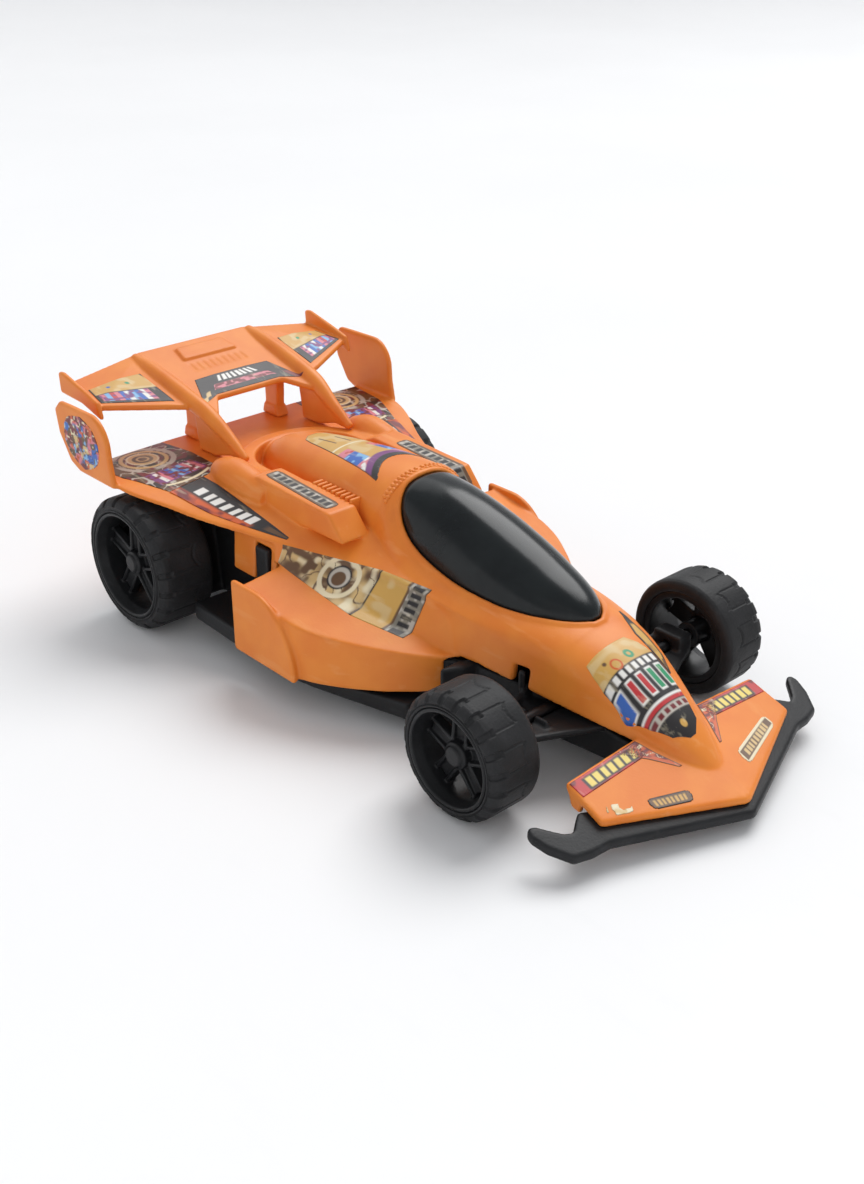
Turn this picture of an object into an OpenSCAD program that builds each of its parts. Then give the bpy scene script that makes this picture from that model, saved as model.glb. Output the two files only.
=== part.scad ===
// Pull back toy racing car: moulded body on a wheeled chassis with a clockwork motor.
// The nose points along -Y, the car's left side is +X, and z = 0 is the ground.

/* [Overall] */
// Distance between the front and the rear axle
wheelbase = 132; // [128:1:136]
// Place of the front axle along the car
front_axle_y = -60; // [-60:1:-58]

/* [Wheels] */
// Radius of a front tyre
front_tyre_r = 16.5; // [15.5:0.5:17]
// Radius of a rear tyre
rear_tyre_r = 20; // [19:0.5:20.5]
// Width of a front tyre
front_tyre_w = 15.6; // [15:0.2:16]
// Width of a rear tyre
rear_tyre_w = 18; // [17:0.5:18.5]
// Distance from the centre line to the inner side of a front tyre
front_inner_x = 35.2; // [35:0.1:36]
// Distance from the centre line to the inner side of a rear tyre
rear_inner_x = 36.5; // [36:0.1:37]
// Notches round the outer shoulder of a tyre
tyre_notches = 20; // [12:1:24]
// Radius of the steel axles
axle_r = 1.5; // [1.2:0.1:1.6]

/* [Body] */
// Wall thickness of the body moulding
wall = 1.6; // [1.2:0.1:2]
// Thickness of the flared upper deck
deck_t = 2; // [1.6:0.1:2.4]
// Thickness of the front wing
front_wing_t = 2; // [1.6:0.1:2.4]
// Ribs in each cooling louvre
louvre_ribs = 9; // [5:1:12]

/* [Motor] */
// Gear module of the clockwork motor
gear_module = 0.6; // [0.6:0.1:0.6]
// Teeth of the pinion on the rear axle
pinion_teeth = 10; // [10:1:10]
// Teeth of the large wheel of the compound gear
compound_teeth = 28; // [28:1:28]
// Teeth of the small wheel of the compound gear
compound_small_teeth = 10; // [10:1:10]
// Teeth of the spring gear
spring_teeth = 34; // [34:1:34]
// Turns of the mainspring
spring_turns = 7; // [4:1:8]

/* [Hidden] */

$fn = 48;
eps = 0.01;
running_fit = 0.08;
rear_axle_y = front_axle_y + wheelbase;
front_axle_z = front_tyre_r;
rear_axle_z = rear_tyre_r;

orange = "#EB8732";
black = "#1B1B1D";
steel = "silver";
brass = "#C9A24B";
nylon = "ivory";

// ---------- helpers ----------

// A solid between closed rings that all have the same number of points.
// Each ring runs clockwise as seen from the end where the first ring lies.
module loft(rings) {
    n = len(rings[0]);
    last = len(rings) - 1;
    polyhedron(
        points = [for (ring = rings) for (p = ring) p],
        faces = concat(
            [[for (j = [0:n - 1]) j]],
            [[for (j = [n - 1:-1:0]) last * n + j]],
            [for (i = [0:last - 1]) for (j = [0:n - 1]) each [
                [i * n + j, (i + 1) * n + j, (i + 1) * n + (j + 1) % n],
                [i * n + j, (i + 1) * n + (j + 1) % n, i * n + (j + 1) % n]
            ]]
        ),
        convexity = 6
    );
}

// A prism across the car: the outline is given as [y, z] points.
module side_prism(outline, x0, x1) {
    translate([x0, 0, 0])
        rotate([90, 0, 90])
            linear_extrude(x1 - x0)
                polygon(outline);
}

// The children and their mirror image on the car's other side.
module both_sides() {
    children();
    mirror([1, 0, 0]) children();
}

// A rod along X between two places.
module cross_rod(r, x0, x1, y, z) {
    translate([x0, y, z])
        rotate([0, 90, 0])
            cylinder(h = x1 - x0, r = r);
}

// Curve value at y, between the points of a [y, value] table.
function at(table, y) = lookup(y, table);

// ---------- body lines ----------

// Crest, shoulder and lower edge of the nose, cockpit surround and engine cover, as [y, value].
crest_z = [
    [-101, 10.8], [-96, 16], [-90, 20.8], [-84, 24.6], [-76, 29.3], [-67, 33.2], [-59, 35.2],
    [-50, 36], [-42, 36], [-30, 36.8], [-20, 38.4], [-10, 41.6], [-4, 45.2], [0, 49.6],
    [3, 55.2], [8, 56.1], [16, 55.9], [26, 55.1], [39, 53.8], [50, 52.3], [57, 51],
    [62, 49.3], [67, 46.3], [71, 42.6], [74, 39.5]
];
shoulder_w = [
    [-101, 1.6], [-96, 5], [-90, 7.6], [-84, 9.6], [-76, 11.9], [-67, 14.3], [-59, 15.7],
    [-50, 17.2], [-42, 18.5], [-30, 19.8], [-20, 20.4], [-10, 19.6], [-4, 18.2], [0, 17],
    [4, 15.8], [8, 15.2], [16, 14.8], [26, 14.2], [39, 13.1], [50, 11.8], [57, 10.6],
    [62, 9.4], [67, 7.6], [71, 5.2], [74, 2.4]
];
shoulder_z = [
    [-101, 9.8], [-96, 12], [-90, 14.6], [-84, 17.4], [-76, 21], [-67, 24.4], [-59, 26.6],
    [-50, 28.2], [-42, 29.4], [-30, 31], [-20, 32.4], [-10, 34.5], [0, 38], [8, 40.5],
    [30, 41.5], [74, 38]
];
sill_w = [[-101, 2], [-90, 8.6], [-76, 12.9], [-59, 17], [-42, 19.8], [-30, 21.2], [0, 18], [74, 3]];
sill_z = [[-101, 9], [-90, 12.2], [-84, 14.8], [-76, 16.3], [-59, 19], [-42, 21], [-30, 21.6], [-20, 30],
    [74, 36]];
spine_y = [
    -101, -98.5, -96, -93, -90, -87, -84, -80, -76, -71.5, -67, -63, -59, -54.5, -50, -46, -42, -36, -30,
    -25, -20, -15, -10, -7, -4, -2, 0, 1.5, 3, 5.5, 8, 12, 16, 21, 26, 32.5, 39, 44.5, 50, 53.5, 57, 59.5,
    62, 64.5, 67, 69, 71, 72.5, 74
];
arc_steps = 14;
roundness = 0.86;

// Ring of the long central form at y, drawn in by t all round and open downwards when deep.
function spine_ring(y, t, deep) =
    let (
        w = at(shoulder_w, y) - t,
        zs = at(shoulder_z, y),
        h = at(crest_z, y) - t - zs,
        low_w = at(sill_w, y) - t,
        low_z = at(sill_z, y) - deep
    )
    concat(
        [[-low_w, y, low_z]],
        [for (i = [0:arc_steps])
            let (a = 180 - 180 * i / arc_steps, c = cos(a))
            [w * sign(c) * pow(abs(c), roundness), y, zs + h * pow(sin(a), roundness)]],
        [[low_w, y, low_z]]
    );

// Outer edge of the flared deck, and its height beside the engine cover.
edge_x = [[-46, 17.2], [-36, 19], [-26, 20.2], [-7, 22.8], [8, 26.5], [21, 31.3], [44, 40], [53, 43.8],
    [76, 52.4], [93.6, 52.4]];
edge_z = [[-46, 30.5], [-36, 32], [-26, 33.6], [-7, 35.7], [8, 36], [21, 36.6], [44, 38.4], [53, 39.6],
    [60, 41.2], [68, 42.6], [76, 43.6], [93.6, 43.8]];
deck_w = [[-46, 12], [-20, 14], [0, 15], [20, 17.5], [40, 20], [60, 24], [93.6, 24]];
deck_z = [[-46, 31], [-20, 35], [-7, 38.5], [4, 41], [20, 42.6], [44, 44.2], [60, 44.6], [93.6, 44.4]];
deck_y = [-46, -36, -26, -16, -7, 0, 8, 14, 21, 32, 44, 53, 60, 68, 76, 85, 93.6];

// Foot of the body side above the sidepod, and the sidepod's outer wall.
flank_x = [[-36, 18.4], [-26, 19.6], [-7, 22.2], [8, 25.9], [21, 30.7], [27, 33], [46, 33.6]];
foot_x = [[-36, 19.6], [-30, 21.6], [-20, 25.4], [-10, 28.6], [0, 31], [10, 33], [22, 34.4], [27, 34.6],
    [46, 34.6]];
foot_z = [[-36, 21.2], [-30, 21.8], [-20, 24.6], [-10, 26.8], [0, 28.4], [10, 29.8], [22, 31], [46, 31]];
pod_x = [[-33, 20.6], [-31, 24], [-28, 28.2], [-22, 34.2], [-14, 40], [-3, 45.8], [4, 47.6], [24, 48.4]];
pod_z = [[-33, 21.4], [-22, 23.2], [-10, 24.6], [0, 25.8], [10, 27.4], [24, 29.6]];
pod_low_z = [[-33, 11.6], [0, 10.2], [24, 10]];
pod_y = [-33, -32, -31, -29.5, -28, -25, -22, -18, -14, -8, -3, 4, 10, 17, 24];

function deck_ring(y) =
    let (xe = at(edge_x, y), ze = at(edge_z, y), xi = at(deck_w, y), zi = at(deck_z, y))
    [
        [-xe, y, ze - 1.2], [-xe, y, ze], [-xi, y, zi], [xi, y, zi], [xe, y, ze], [xe, y, ze - 1.2],
        [xi, y, zi - deck_t], [-xi, y, zi - deck_t]
    ];

function flank_ring(y, low) =
    let (xt = at(flank_x, y), zt = at(edge_z, y) - 0.7, xf = at(foot_x, y), zf = at(foot_z, y) - low)
    [
        [xt - wall, y, zt - 0.4], [xt, y, zt], [xf, y, zf], [xf - wall, y, zf]
    ];

function pod_ring(y, t, deep) =
    let (xf = at(foot_x, y), zf = at(foot_z, y), xo = at(pod_x, y), zo = at(pod_z, y), zl = at(pod_low_z, y))
    [
        [xf - 3 - t, y, zl - deep], [xf - 3 - t, y, zf + 1 - t], [xf, y, zf - t],
        [xo - t, y, zo - t], [xo - t, y, zl - deep]
    ];

// ---------- body shell ----------

// Plane of the front wing, which rises towards the rear and droops towards its ends.
front_tip_y = -110.4;
function wing_plane(x, y) = 7.9 - 0.083 * abs(x) + 0.366 * (y - front_tip_y);

// A plate on the front wing's plane: the outline is given as [x, y] points, top face dz above the plane.
module wing_plate(outline, dz, t) {
    loft([
        [for (p = outline) [p[0], p[1], wing_plane(p[0], p[1]) + dz]],
        [for (p = outline) [p[0], p[1], wing_plane(p[0], p[1]) + dz - t]]
    ]);
}

module front_wing() {
    both_sides() {
        wing_plate([[0, front_tip_y], [0, -86], [9, -83.5], [34.8, -83.1], [35.6, -95.2]], 0, front_wing_t);
        side_prism(
            [[-83.5, 14.2], [-95.2, 10], [-95.2, 8.7], [-88.3, 11.2], [-88.2, 8.4], [-85.2, 9.2]],
            33.6, 35
        );
    }
}

// Quarter-round plate at the rear of each sidepod.
module pod_fin() {
    side_prism(
        concat(
            [[26.4, 9.8], [0, 9.8]],
            [for (a = [10:10:90]) [17 - 17 * cos(a), 10 + 20.8 * sin(a)]],
            [[26.4, 30.8]]
        ),
        47.4, 49.2
    );
}

// Box with a sloped front face that runs back beside the engine cover into a round shoulder.
module vent_box() {
    side_prism([[6, 40.4], [12.4, 47.6], [44, 48.8], [50, 46], [50, 40]], 16.2, 26.2);
    hull() {
        translate([24.8, 46, 43.6]) sphere(r = 4.6, $fn = 24);
        translate([25.2, 59, 44.8]) sphere(r = 4.8, $fn = 24);
    }
    hull() {
        translate([20.4, 42, 43]) sphere(r = 3.4, $fn = 24);
        translate([20.4, 58, 42.8]) sphere(r = 3.4, $fn = 24);
    }
}

// Raised rim that wraps round the rear end of the engine cover.
module cover_rim() {
    rim_r = 19;
    rim_y = 52;
    for (a = [0:15:165])
        hull()
            for (b = [a, a + 15])
                translate([rim_r * cos(b), rim_y + rim_r * 0.95 * sin(b), 43.4])
                    sphere(r = 3.2, $fn = 12);
}

// Row of cross ribs between the engine cover and a vent box.
module louvre() {
    louvre_y0 = 14;
    louvre_pitch = 2;
    for (i = [0:louvre_ribs - 1])
        translate([12.4, louvre_y0 + louvre_pitch * i, 42.5])
            cube([5, 1, 2.6]);
}

// Small knurls behind the canopy's rear edge.
module collar() {
    knurl_y = 4.8;
    knurl_len = 1.6;
    for (a = [40:10:140])
        hull()
            for (y = [knurl_y, knurl_y + knurl_len])
                translate([
                    at(shoulder_w, y) * sign(cos(a)) * pow(abs(cos(a)), roundness),
                    y,
                    at(shoulder_z, y) + (at(crest_z, y) - at(shoulder_z, y)) * pow(sin(a), roundness)
                ])
                    sphere(r = 0.7, $fn = 8);
}

// Upright plate at each outer rear corner of the deck.
module endplate() {
    side_prism(
        concat(
            [[75, 42.4], [76.5, 50]],
            [for (a = [170:-20:90]) [85 + 8.4 * cos(a), 53 + 9.4 * sin(a)]],
            [[94, 62.2], [101.6, 62], [104.6, 59], [103.4, 52], [98.4, 44.4], [93.6, 42.4]]
        ),
        51.6, 53.4
    );
}

// Walls below the deck round the motor and over the rear wheels' inner sides.
module rear_skirt() {
    side_prism([[58, 43], [58, 33], [70, 31], [93.2, 28.4], [93.2, 43]], 27.8, 29.4);
    translate([0, 91.7, 28.8]) cube([28.6, 1.4, 14]);
}

module screw_boss(x, y, z0, z1) {
    translate([x, y, z0])
        difference() {
            cylinder(h = z1 - z0, r = 2.8);
            translate([0, 0, -eps]) cylinder(h = screw_len, r = screw_r + 0.03, $fn = 64);
        }
}

module canopy_cut() {
    loft([for (y = canopy_y) canopy_ring(y, -0.12, 9)]);
}

module body_outer() {
    loft([for (y = spine_y) spine_ring(y, 0, 0)]);
    loft([for (y = deck_y) deck_ring(y)]);
    front_wing();
    both_sides() {
        loft([for (y = [-34, -30, -20, -10, 0, 10, 22, 27]) flank_ring(y, 0)]);
        loft([for (y = [26, 30, 38, 45.6]) flank_ring(y, 8.4)]);
        loft([for (y = pod_y) pod_ring(y, 0, 0)]);
        pod_fin();
        vent_box();
        louvre();
        endplate();
        rear_skirt();
    }
    cover_rim();
    collar();
}

module body_inner() {
    loft([for (y = [for (v = spine_y) if (v > -97 && v < 71) v]) spine_ring(y, wall, 20)]);
    translate([-15, -28, 20]) cube([30, 70, 14]);
    intersection() {
        linear_extrude(20.8) offset(delta = 0.3) tub_outline();
        translate([-40, -36, 0]) cube([80, 90, 30]);
    }
    intersection() {
        translate([0, 0, 7.6]) linear_extrude(13.8) offset(delta = 0.3) shoulder_outline();
        translate([0, -40, 0]) cube([40, 20, 30]);
    }
    both_sides() {
        loft([for (y = concat([for (v = pod_y) if (v > -28) v], [25.9])) pod_ring(y, wall, 5)]);
        translate([30, 28.9, 15]) cube([8, 6.6, 18.8]);
        translate([13, -54, 10]) cube([8, 4.4, 15]);
    }
    canopy_cut();
}

module body_shell() {
    color(orange) {
        difference() {
            body_outer();
            body_inner();
        }
        screw_boss(0, front_screw_y, chassis_top, at(crest_z, front_screw_y) - 3);
        both_sides() screw_boss(rear_screw_x, rear_screw_y, chassis_top, deck_under);
    }
}

// ---------- canopy ----------

canopy_y = [-60, -59, -57, -54, -50, -45, -39, -31, -23, -15, -8, -3, 0, 2, 3.1];
canopy_crest = [[-60, 36.4], [-59, 37.6], [-57, 39], [-54, 40.6], [-50, 42.4], [-45, 44.4], [-39, 46.8],
    [-31, 49.6], [-23, 52], [-15, 53.9], [-8, 55], [-3, 55.3], [0, 55.3], [2, 54.9], [3.1, 54.2]];
canopy_w = [[-60, 1.4], [-59, 3.2], [-57, 5.4], [-54, 7.6], [-50, 9.5], [-45, 11], [-39, 12.3], [-31, 13.3],
    [-23, 13.8], [-15, 13.7], [-8, 13.2], [-3, 12.2], [0, 10.8], [2, 8.4], [3.1, 6]];
canopy_low = [[-60, 35.6], [-54, 34.6], [-42, 34], [-31, 34.6], [-23, 35.6], [-15, 37.4], [-8, 40.6],
    [-3, 44.6], [0, 48], [2, 51], [3.1, 52.6]];

// Dome ring at y, drawn in by t, its sides carried down by deep.
function canopy_ring(y, t, deep) =
    let (w = at(canopy_w, y) - t, zl = at(canopy_low, y), h = max(at(canopy_crest, y) - t - zl, 0.3))
    concat(
        [[-w, y, zl - deep]],
        [for (i = [0:arc_steps])
            let (a = 180 - 180 * i / arc_steps, c = cos(a))
            [w * sign(c) * pow(abs(c), 0.9), y, zl + h * pow(sin(a), 0.9)]],
        [[w, y, zl - deep]]
    );

module canopy() {
    color(black)
        difference() {
            loft([for (y = canopy_y) canopy_ring(y, 0, 0.8)]);
            loft([for (y = [for (v = canopy_y) if (v > -58 && v < 1) v]) canopy_ring(y, 1.4, 4)]);
        }
}

// ---------- rear wing ----------

wing_z0 = 59;
wing_y0 = 81;
wing_slope = 0.25;
function rear_plane(y) = wing_z0 + wing_slope * (y - wing_y0);

module rear_plate(points, t) {
    loft([
        points,
        [for (p = points) [p[0], p[1], p[2] - t]]
    ]);
}

module wing_centre() {
    rear_plate(
        [
            [-20, 112, rear_plane(112)], [20, 112, rear_plane(112)], [20, 73, rear_plane(73)],
            [17, 73.6, rear_plane(73.6)], [12, 81, rear_plane(81)],
            [-12, 81, rear_plane(81)], [-17, 73.6, rear_plane(73.6)], [-20, 73, rear_plane(73)]
        ],
        1.8
    );
    rear_plate(
        [
            [-9, 106, rear_plane(106) + 0.7], [9, 106, rear_plane(106) + 0.7],
            [11, 93, rear_plane(93) + 0.7], [-11, 93, rear_plane(93) + 0.7]
        ],
        1
    );
}

module wing_side() {
    loft([
        [[19, 112, 66.6], [45.6, 112, 62.6], [45.6, 92, 61.4], [27, 82, 60.6], [19, 79, 58.6]],
        [[19, 112, 64.8], [45.6, 112, 61], [45.6, 92, 59.8], [27, 82, 59], [19, 79, 57]]
    ]);
    side_prism([[89.6, 57.4], [91.4, 62.4], [110, 67], [112.2, 66.6], [111.8, 60.4], [100, 60]], 45.4, 46.9);
    hull() {
        translate([20.6, 78, 58]) sphere(r = 2, $fn = 16);
        translate([21.2, 110.4, 65.6]) sphere(r = 2, $fn = 16);
    }
    side_prism(
        [[57, 47], [76.5, 58.8], [82, 60], [80.6, 54], [79.8, 44.56], [72, 44.6], [64, 47.6]],
        18.2, 20.6
    );
    side_prism([[86.4, 44.5], [85.4, 60], [92.6, 61.4], [92.6, 44.5]], 13.4, 16.4);
}

module wing_slots() {
    for (i = [-4:4])
        hull()
            for (y = [94.6, 98.4])
                translate([1.9 * i, y, rear_plane(y) + 0.7]) cylinder(h = 0.8, r = 0.3, center = true, $fn = 8);
}

module rear_wing() {
    color(orange)
        difference() {
            union() {
                wing_centre();
                both_sides() wing_side();
            }
            wing_slots();
        }
}

// ---------- front bumper ----------

module front_bumper() {
    gap = 0.1;
    color(black)
        both_sides()
            wing_plate(
                [
                    [0, -112.2], [0, -103], [30, -91.5], [36.6, -88.8], [40.6, -92], [43.6, -90.6],
                    [47.6, -86], [49.4, -85.4], [50.6, -87.4], [49.4, -91.6], [46, -96.8], [36, -98.6]
                ],
                -front_wing_t - gap, 2.6
            );
}

// ---------- chassis ----------

floor_z = 6;
floor_t = 2.2;
chassis_top = floor_z + floor_t;
bay_x = 27;
deck_under = 43;
screw_r = 1.2;
screw_len = 9;
screw_head_r = 2.4;
front_screw_y = -79;
rear_screw_x = 20;
rear_screw_y = 86;
motor_screw_x = 18;
motor_screw_y = 48;
plate_rear_y = 51;

// Half outline of the tub, from the nose to the tail.
tub_half = [[0, -87], [8.6, -87], [10.8, -76], [12.6, -60], [16.5, -46], [19.4, -36], [24, -30], [27, -25],
    [27, 91.6], [0, 91.6]];

module tub_outline() {
    polygon(tub_half);
    mirror([1, 0]) polygon(tub_half);
}

// Side profile above which the tub is open: low beside the nose, high round the motor.
tub_profile = [[-88, floor_z], [93, floor_z], [93, 27], [60, 30], [60, 34.8], [46.6, 34.8], [46.6, 21.2],
    [-30, 20.4], [-46, 19], [-72, 15.4], [-88, 11.6]];

module tub() {
    inner_half = [[0, -85], [7, -85], [9.2, -76], [11, -60], [15, -46], [18, -35], [22.6, -28.6], [25.4, -24],
        [25.4, 90], [0, 90]];
    difference() {
        intersection() {
            linear_extrude(60) tub_outline();
            side_prism(tub_profile, -40, 40);
        }
        translate([0, 0, chassis_top])
            linear_extrude(60) {
                polygon(inner_half);
                mirror([1, 0]) polygon(inner_half);
            }
    }
}

// Long boards low on both sides, which rise towards the rear.
module running_board() {
    intersection() {
        linear_extrude(30)
            polygon([[26, -27], [33.4, -27], [41.6, -2], [45.4, 12], [45.4, plate_rear_y], [26, plate_rear_y]]);
        side_prism([[-28, 4.4], [52, 8], [52, 13.2], [26, 12], [24, 9.6], [-28, 9.6]], 20, 50);
    }
}

module shoulder_outline() {
    polygon([[15, -38], [23.4, -37.2], [28.4, -34.6], [28.4, -33.6], [22, -33.6], [17, -36]]);
}

// Block in front of each sidepod.
module shoulder_block() {
    translate([0, 0, 8])
        linear_extrude(13)
            shoulder_outline();
}

// Triangular front suspension arm with its ribs and the bearing at its tip.
module suspension_arm() {
    arm_z = 14.4;
    translate([0, 0, arm_z])
        linear_extrude(1.8)
            polygon([[11, -50], [17, -50.5], [34, -55.4], [34, -64.6], [27, -67.4], [11, -75]]);
    side_prism([[-64.6, 12.5], [-55.4, 12.5], [-55.4, 20.5], [-64.6, 20.5]], 29, 34.4);
    for (line = [[11.8, -51.4, 30, -56.4, 4.4], [11, -74, 30, -64.4, 1.8]])
        translate([line[0], line[1], arm_z])
            rotate([0, 0, atan2(line[3] - line[1], line[2] - line[0])])
                translate([0, -0.8, 0])
                    cube([norm([line[2] - line[0], line[3] - line[1]]), 1.6, line[4]]);
    translate([16.6, -53, arm_z]) cube([1.8, 1.8, 10]);
    translate([21.6, -66, arm_z]) cube([1.4, 12, 3.4]);
}

// Tab that shows through the slot in the body's side.
module side_clip() {
    translate([26, 29.2, 18.2]) cube([8.4, 6, 2.4]);
    translate([32.4, 29.2, 18.2]) cube([2, 6, 15.2]);
}

// Upright web that carries the rear axle beside the motor.
module axle_web() {
    side_prism(
        [[rear_axle_y - 9, floor_z], [rear_axle_y + 9, floor_z], [rear_axle_y + 6, 30], [rear_axle_y - 6, 30]],
        27 - eps, 34
    );
}

module chassis_solid() {
    tub();
    both_sides() {
        running_board();
        shoulder_block();
        suspension_arm();
        side_clip();
        axle_web();
        translate([motor_screw_x, motor_screw_y, floor_z]) cylinder(h = 6, r = 3.4);
    }
}

module screw_hole(x, y) {
    translate([x, y, floor_z - 5]) cylinder(h = 20, r = screw_r + 0.2);
    translate([x, y, floor_z - 5]) cylinder(h = 6.2, r = screw_head_r + 0.3);
}

module chassis() {
    color(black)
        difference() {
            chassis_solid();
            cross_rod(axle_r + running_fit, -60, 60, front_axle_y, front_axle_z);
            cross_rod(axle_r + running_fit, -60, 60, rear_axle_y, rear_axle_z);
            screw_hole(0, front_screw_y);
            both_sides() {
                screw_hole(rear_screw_x, rear_screw_y);
                screw_hole(motor_screw_x, motor_screw_y);
            }
        }
}

// ---------- screws ----------

module screw(length) {
    cylinder(h = 1.6, r = screw_head_r);
    translate([0, 0, 1.6 - eps]) cylinder(h = length, r = screw_r);
}

module cross_recess() {
    for (a = [0, 90])
        rotate([0, 0, a])
            translate([-1.5, -0.3, -0.1]) cube([3, 0.6, 1]);
}

module cross_screw(length) {
    difference() {
        screw(length);
        cross_recess();
    }
}

module body_screws() {
    color(steel) {
        translate([0, front_screw_y, floor_z - 0.4]) cross_screw(8);
        both_sides()
            translate([rear_screw_x, rear_screw_y, floor_z - 0.4]) cross_screw(8);
    }
}

module motor_screws() {
    color(steel)
        both_sides()
            translate([motor_screw_x, motor_screw_y, floor_z - 0.4]) cross_screw(7.6);
}

// ---------- motor ----------

case_x = 13;
case_wall = 1.4;
compound_d = gear_module * (pinion_teeth + compound_teeth) / 2;
spring_d = gear_module * (compound_small_teeth + spring_teeth) / 2;
compound_angle = 153.5;
spring_angle = 197;
compound_y = rear_axle_y + compound_d * cos(compound_angle);
compound_z = rear_axle_z + compound_d * sin(compound_angle);
spring_y = compound_y + spring_d * cos(spring_angle);
spring_z = compound_z + spring_d * sin(spring_angle);
arbor_r = 1;
spring_arbor_r = 1.6;
case_outline = [[36, 8.6], [80, 8.6], [80, 28], [72, 35.4], [54, 37], [36, 33]];
case_outline_in = [[37.4, 10], [78.6, 10], [78.6, 27.3], [71.4, 34], [54, 35.6], [37.4, 32]];

// Half of the motor case on the +X side.
module case_half() {
    difference() {
        union() {
            side_prism(case_outline, 0, case_x);
            translate([case_x - 1, motor_screw_y - 4, 12.2]) cube([9.4, 8, 3]);
        }
        side_prism(case_outline_in, -1, case_x - case_wall);
        cross_rod(axle_r + running_fit, -20, 20, rear_axle_y, rear_axle_z);
        cross_rod(arbor_r + running_fit, -20, 20, compound_y, compound_z);
        cross_rod(spring_arbor_r + running_fit, -20, 20, spring_y, spring_z);
        translate([motor_screw_x, motor_screw_y, 10]) cylinder(h = 10, r = screw_r + 0.05);
    }
}

module motor_case_left() {
    color(nylon) translate([0.02, 0, 0]) case_half();
}

module motor_case_right() {
    color(nylon) mirror([1, 0, 0]) translate([0.02, 0, 0]) case_half();
}

// Outline of a gear: straight-flanked teeth that are thinner than their gaps, for easy running.
function gear_points(teeth) =
    let (
        pitch_r = gear_module * teeth / 2,
        tip_r = pitch_r + 0.85 * gear_module,
        root_r = pitch_r - 1.2 * gear_module,
        step = 360 / teeth,
        half_deg = 180 / PI / pitch_r
    )
    [for (i = [0:teeth - 1])
        for (k = [
            [root_r, -0.50 * gear_module * half_deg],
            [pitch_r, -0.66 * gear_module * half_deg],
            [tip_r, -0.34 * gear_module * half_deg],
            [tip_r, 0.34 * gear_module * half_deg],
            [pitch_r, 0.66 * gear_module * half_deg],
            [root_r, 0.50 * gear_module * half_deg]
        ])
            k[0] * [cos(i * step + k[1]), sin(i * step + k[1])]];

// A gear along X, turned by phase degrees, bored for its shaft.
module gear(teeth, x0, x1, y, z, phase, bore_r) {
    translate([x0, y, z])
        rotate([90, 0, 90])
            linear_extrude(x1 - x0)
                difference() {
                    rotate([0, 0, phase]) polygon(gear_points(teeth));
                    circle(r = bore_r);
                }
}

// Phase that puts a gap of the driven gear opposite a tooth of its mate.
function mesh_phase(teeth, angle, mate_teeth, mate_phase) =
    angle + 180 + 180 / teeth - (mate_phase - angle) * mate_teeth / teeth;

pinion_phase = 0;
compound_phase = mesh_phase(compound_teeth, compound_angle, pinion_teeth, pinion_phase);
small_phase = 0;
spring_phase = mesh_phase(spring_teeth, spring_angle, compound_small_teeth, small_phase);

module axle_pinion() {
    color(brass) gear(pinion_teeth, 2, 6, rear_axle_y, rear_axle_z, pinion_phase, axle_r);
}

module compound_gear() {
    color(nylon) {
        gear(compound_teeth, 2.6, 5.4, compound_y, compound_z, compound_phase, arbor_r);
        gear(compound_small_teeth, 5.4 - eps, 10.4, compound_y, compound_z, small_phase, arbor_r);
    }
}

module compound_arbor() {
    color(steel) cross_rod(arbor_r, -case_x, case_x, compound_y, compound_z);
}

module spring_gear() {
    color(nylon) gear(spring_teeth, 6.4, 9.6, spring_y, spring_z, spring_phase, spring_arbor_r);
}

module spring_arbor() {
    color(steel) cross_rod(spring_arbor_r, -case_x, case_x, spring_y, spring_z);
}

// Flat spiral strip round the arbor.
module mainspring() {
    r0 = 2.6;
    r1 = 9;
    strip = 0.35;
    steps = spring_turns * 20;
    color(steel)
        translate([-8, spring_y, spring_z])
            rotate([90, 0, 90])
                linear_extrude(9.5)
                    polygon(concat(
                        [for (i = [0:steps])
                            (r0 + (r1 - r0) * i / steps) * [cos(i * 18), sin(i * 18)]],
                        [for (i = [steps:-1:0])
                            (r0 + strip + (r1 - r0) * i / steps) * [cos(i * 18), sin(i * 18)]]
                    ));
}

// ---------- wheels ----------

rim_share = 0.8;
front_rim_r = rim_share * front_tyre_r;
rear_rim_r = rim_share * rear_tyre_r;
hub_r = 3.6;

// A wheel part drawn along +Z with its outer side up, set on the car's left side.
module on_left(x, y, z) {
    translate([x, y, z])
        rotate([90, 0, 90])
            children();
}

module at_front() {
    on_left(front_inner_x, front_axle_y, front_axle_z) children();
}

module at_rear() {
    on_left(rear_inner_x, rear_axle_y, rear_axle_z) children();
}

// Deep rim with five grooved spokes and a round hub.
module rim(r, w) {
    face = w - 4.4;
    rotate_extrude()
        polygon([[r - 2, 0.6], [r, 0.6], [r, w - 0.6], [r - 1.2, w - 0.6], [r - 2, w - 3]]);
    difference() {
        union() {
            translate([0, 0, 3]) cylinder(h = face - 1.4, r = hub_r);
            translate([0, 0, face - 1]) cylinder(h = 3, r = hub_r - 0.9);
            translate([0, 0, face - 2.2])
                linear_extrude(2.6)
                    for (a = [0:72:288])
                        rotate(a)
                            for (side = [-1, 1])
                                translate([1.5, side * 2.1 - 0.75]) square([r - 2.6, 1.5]);
            translate([0, 0, face - 2.6])
                linear_extrude(2)
                    for (a = [0:72:288])
                        rotate(a)
                            translate([1.5, -2.4]) square([r - 2.6, 4.8]);
        }
        translate([0, 0, -1]) cylinder(h = face + 1, r = axle_r);
    }
}

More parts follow.
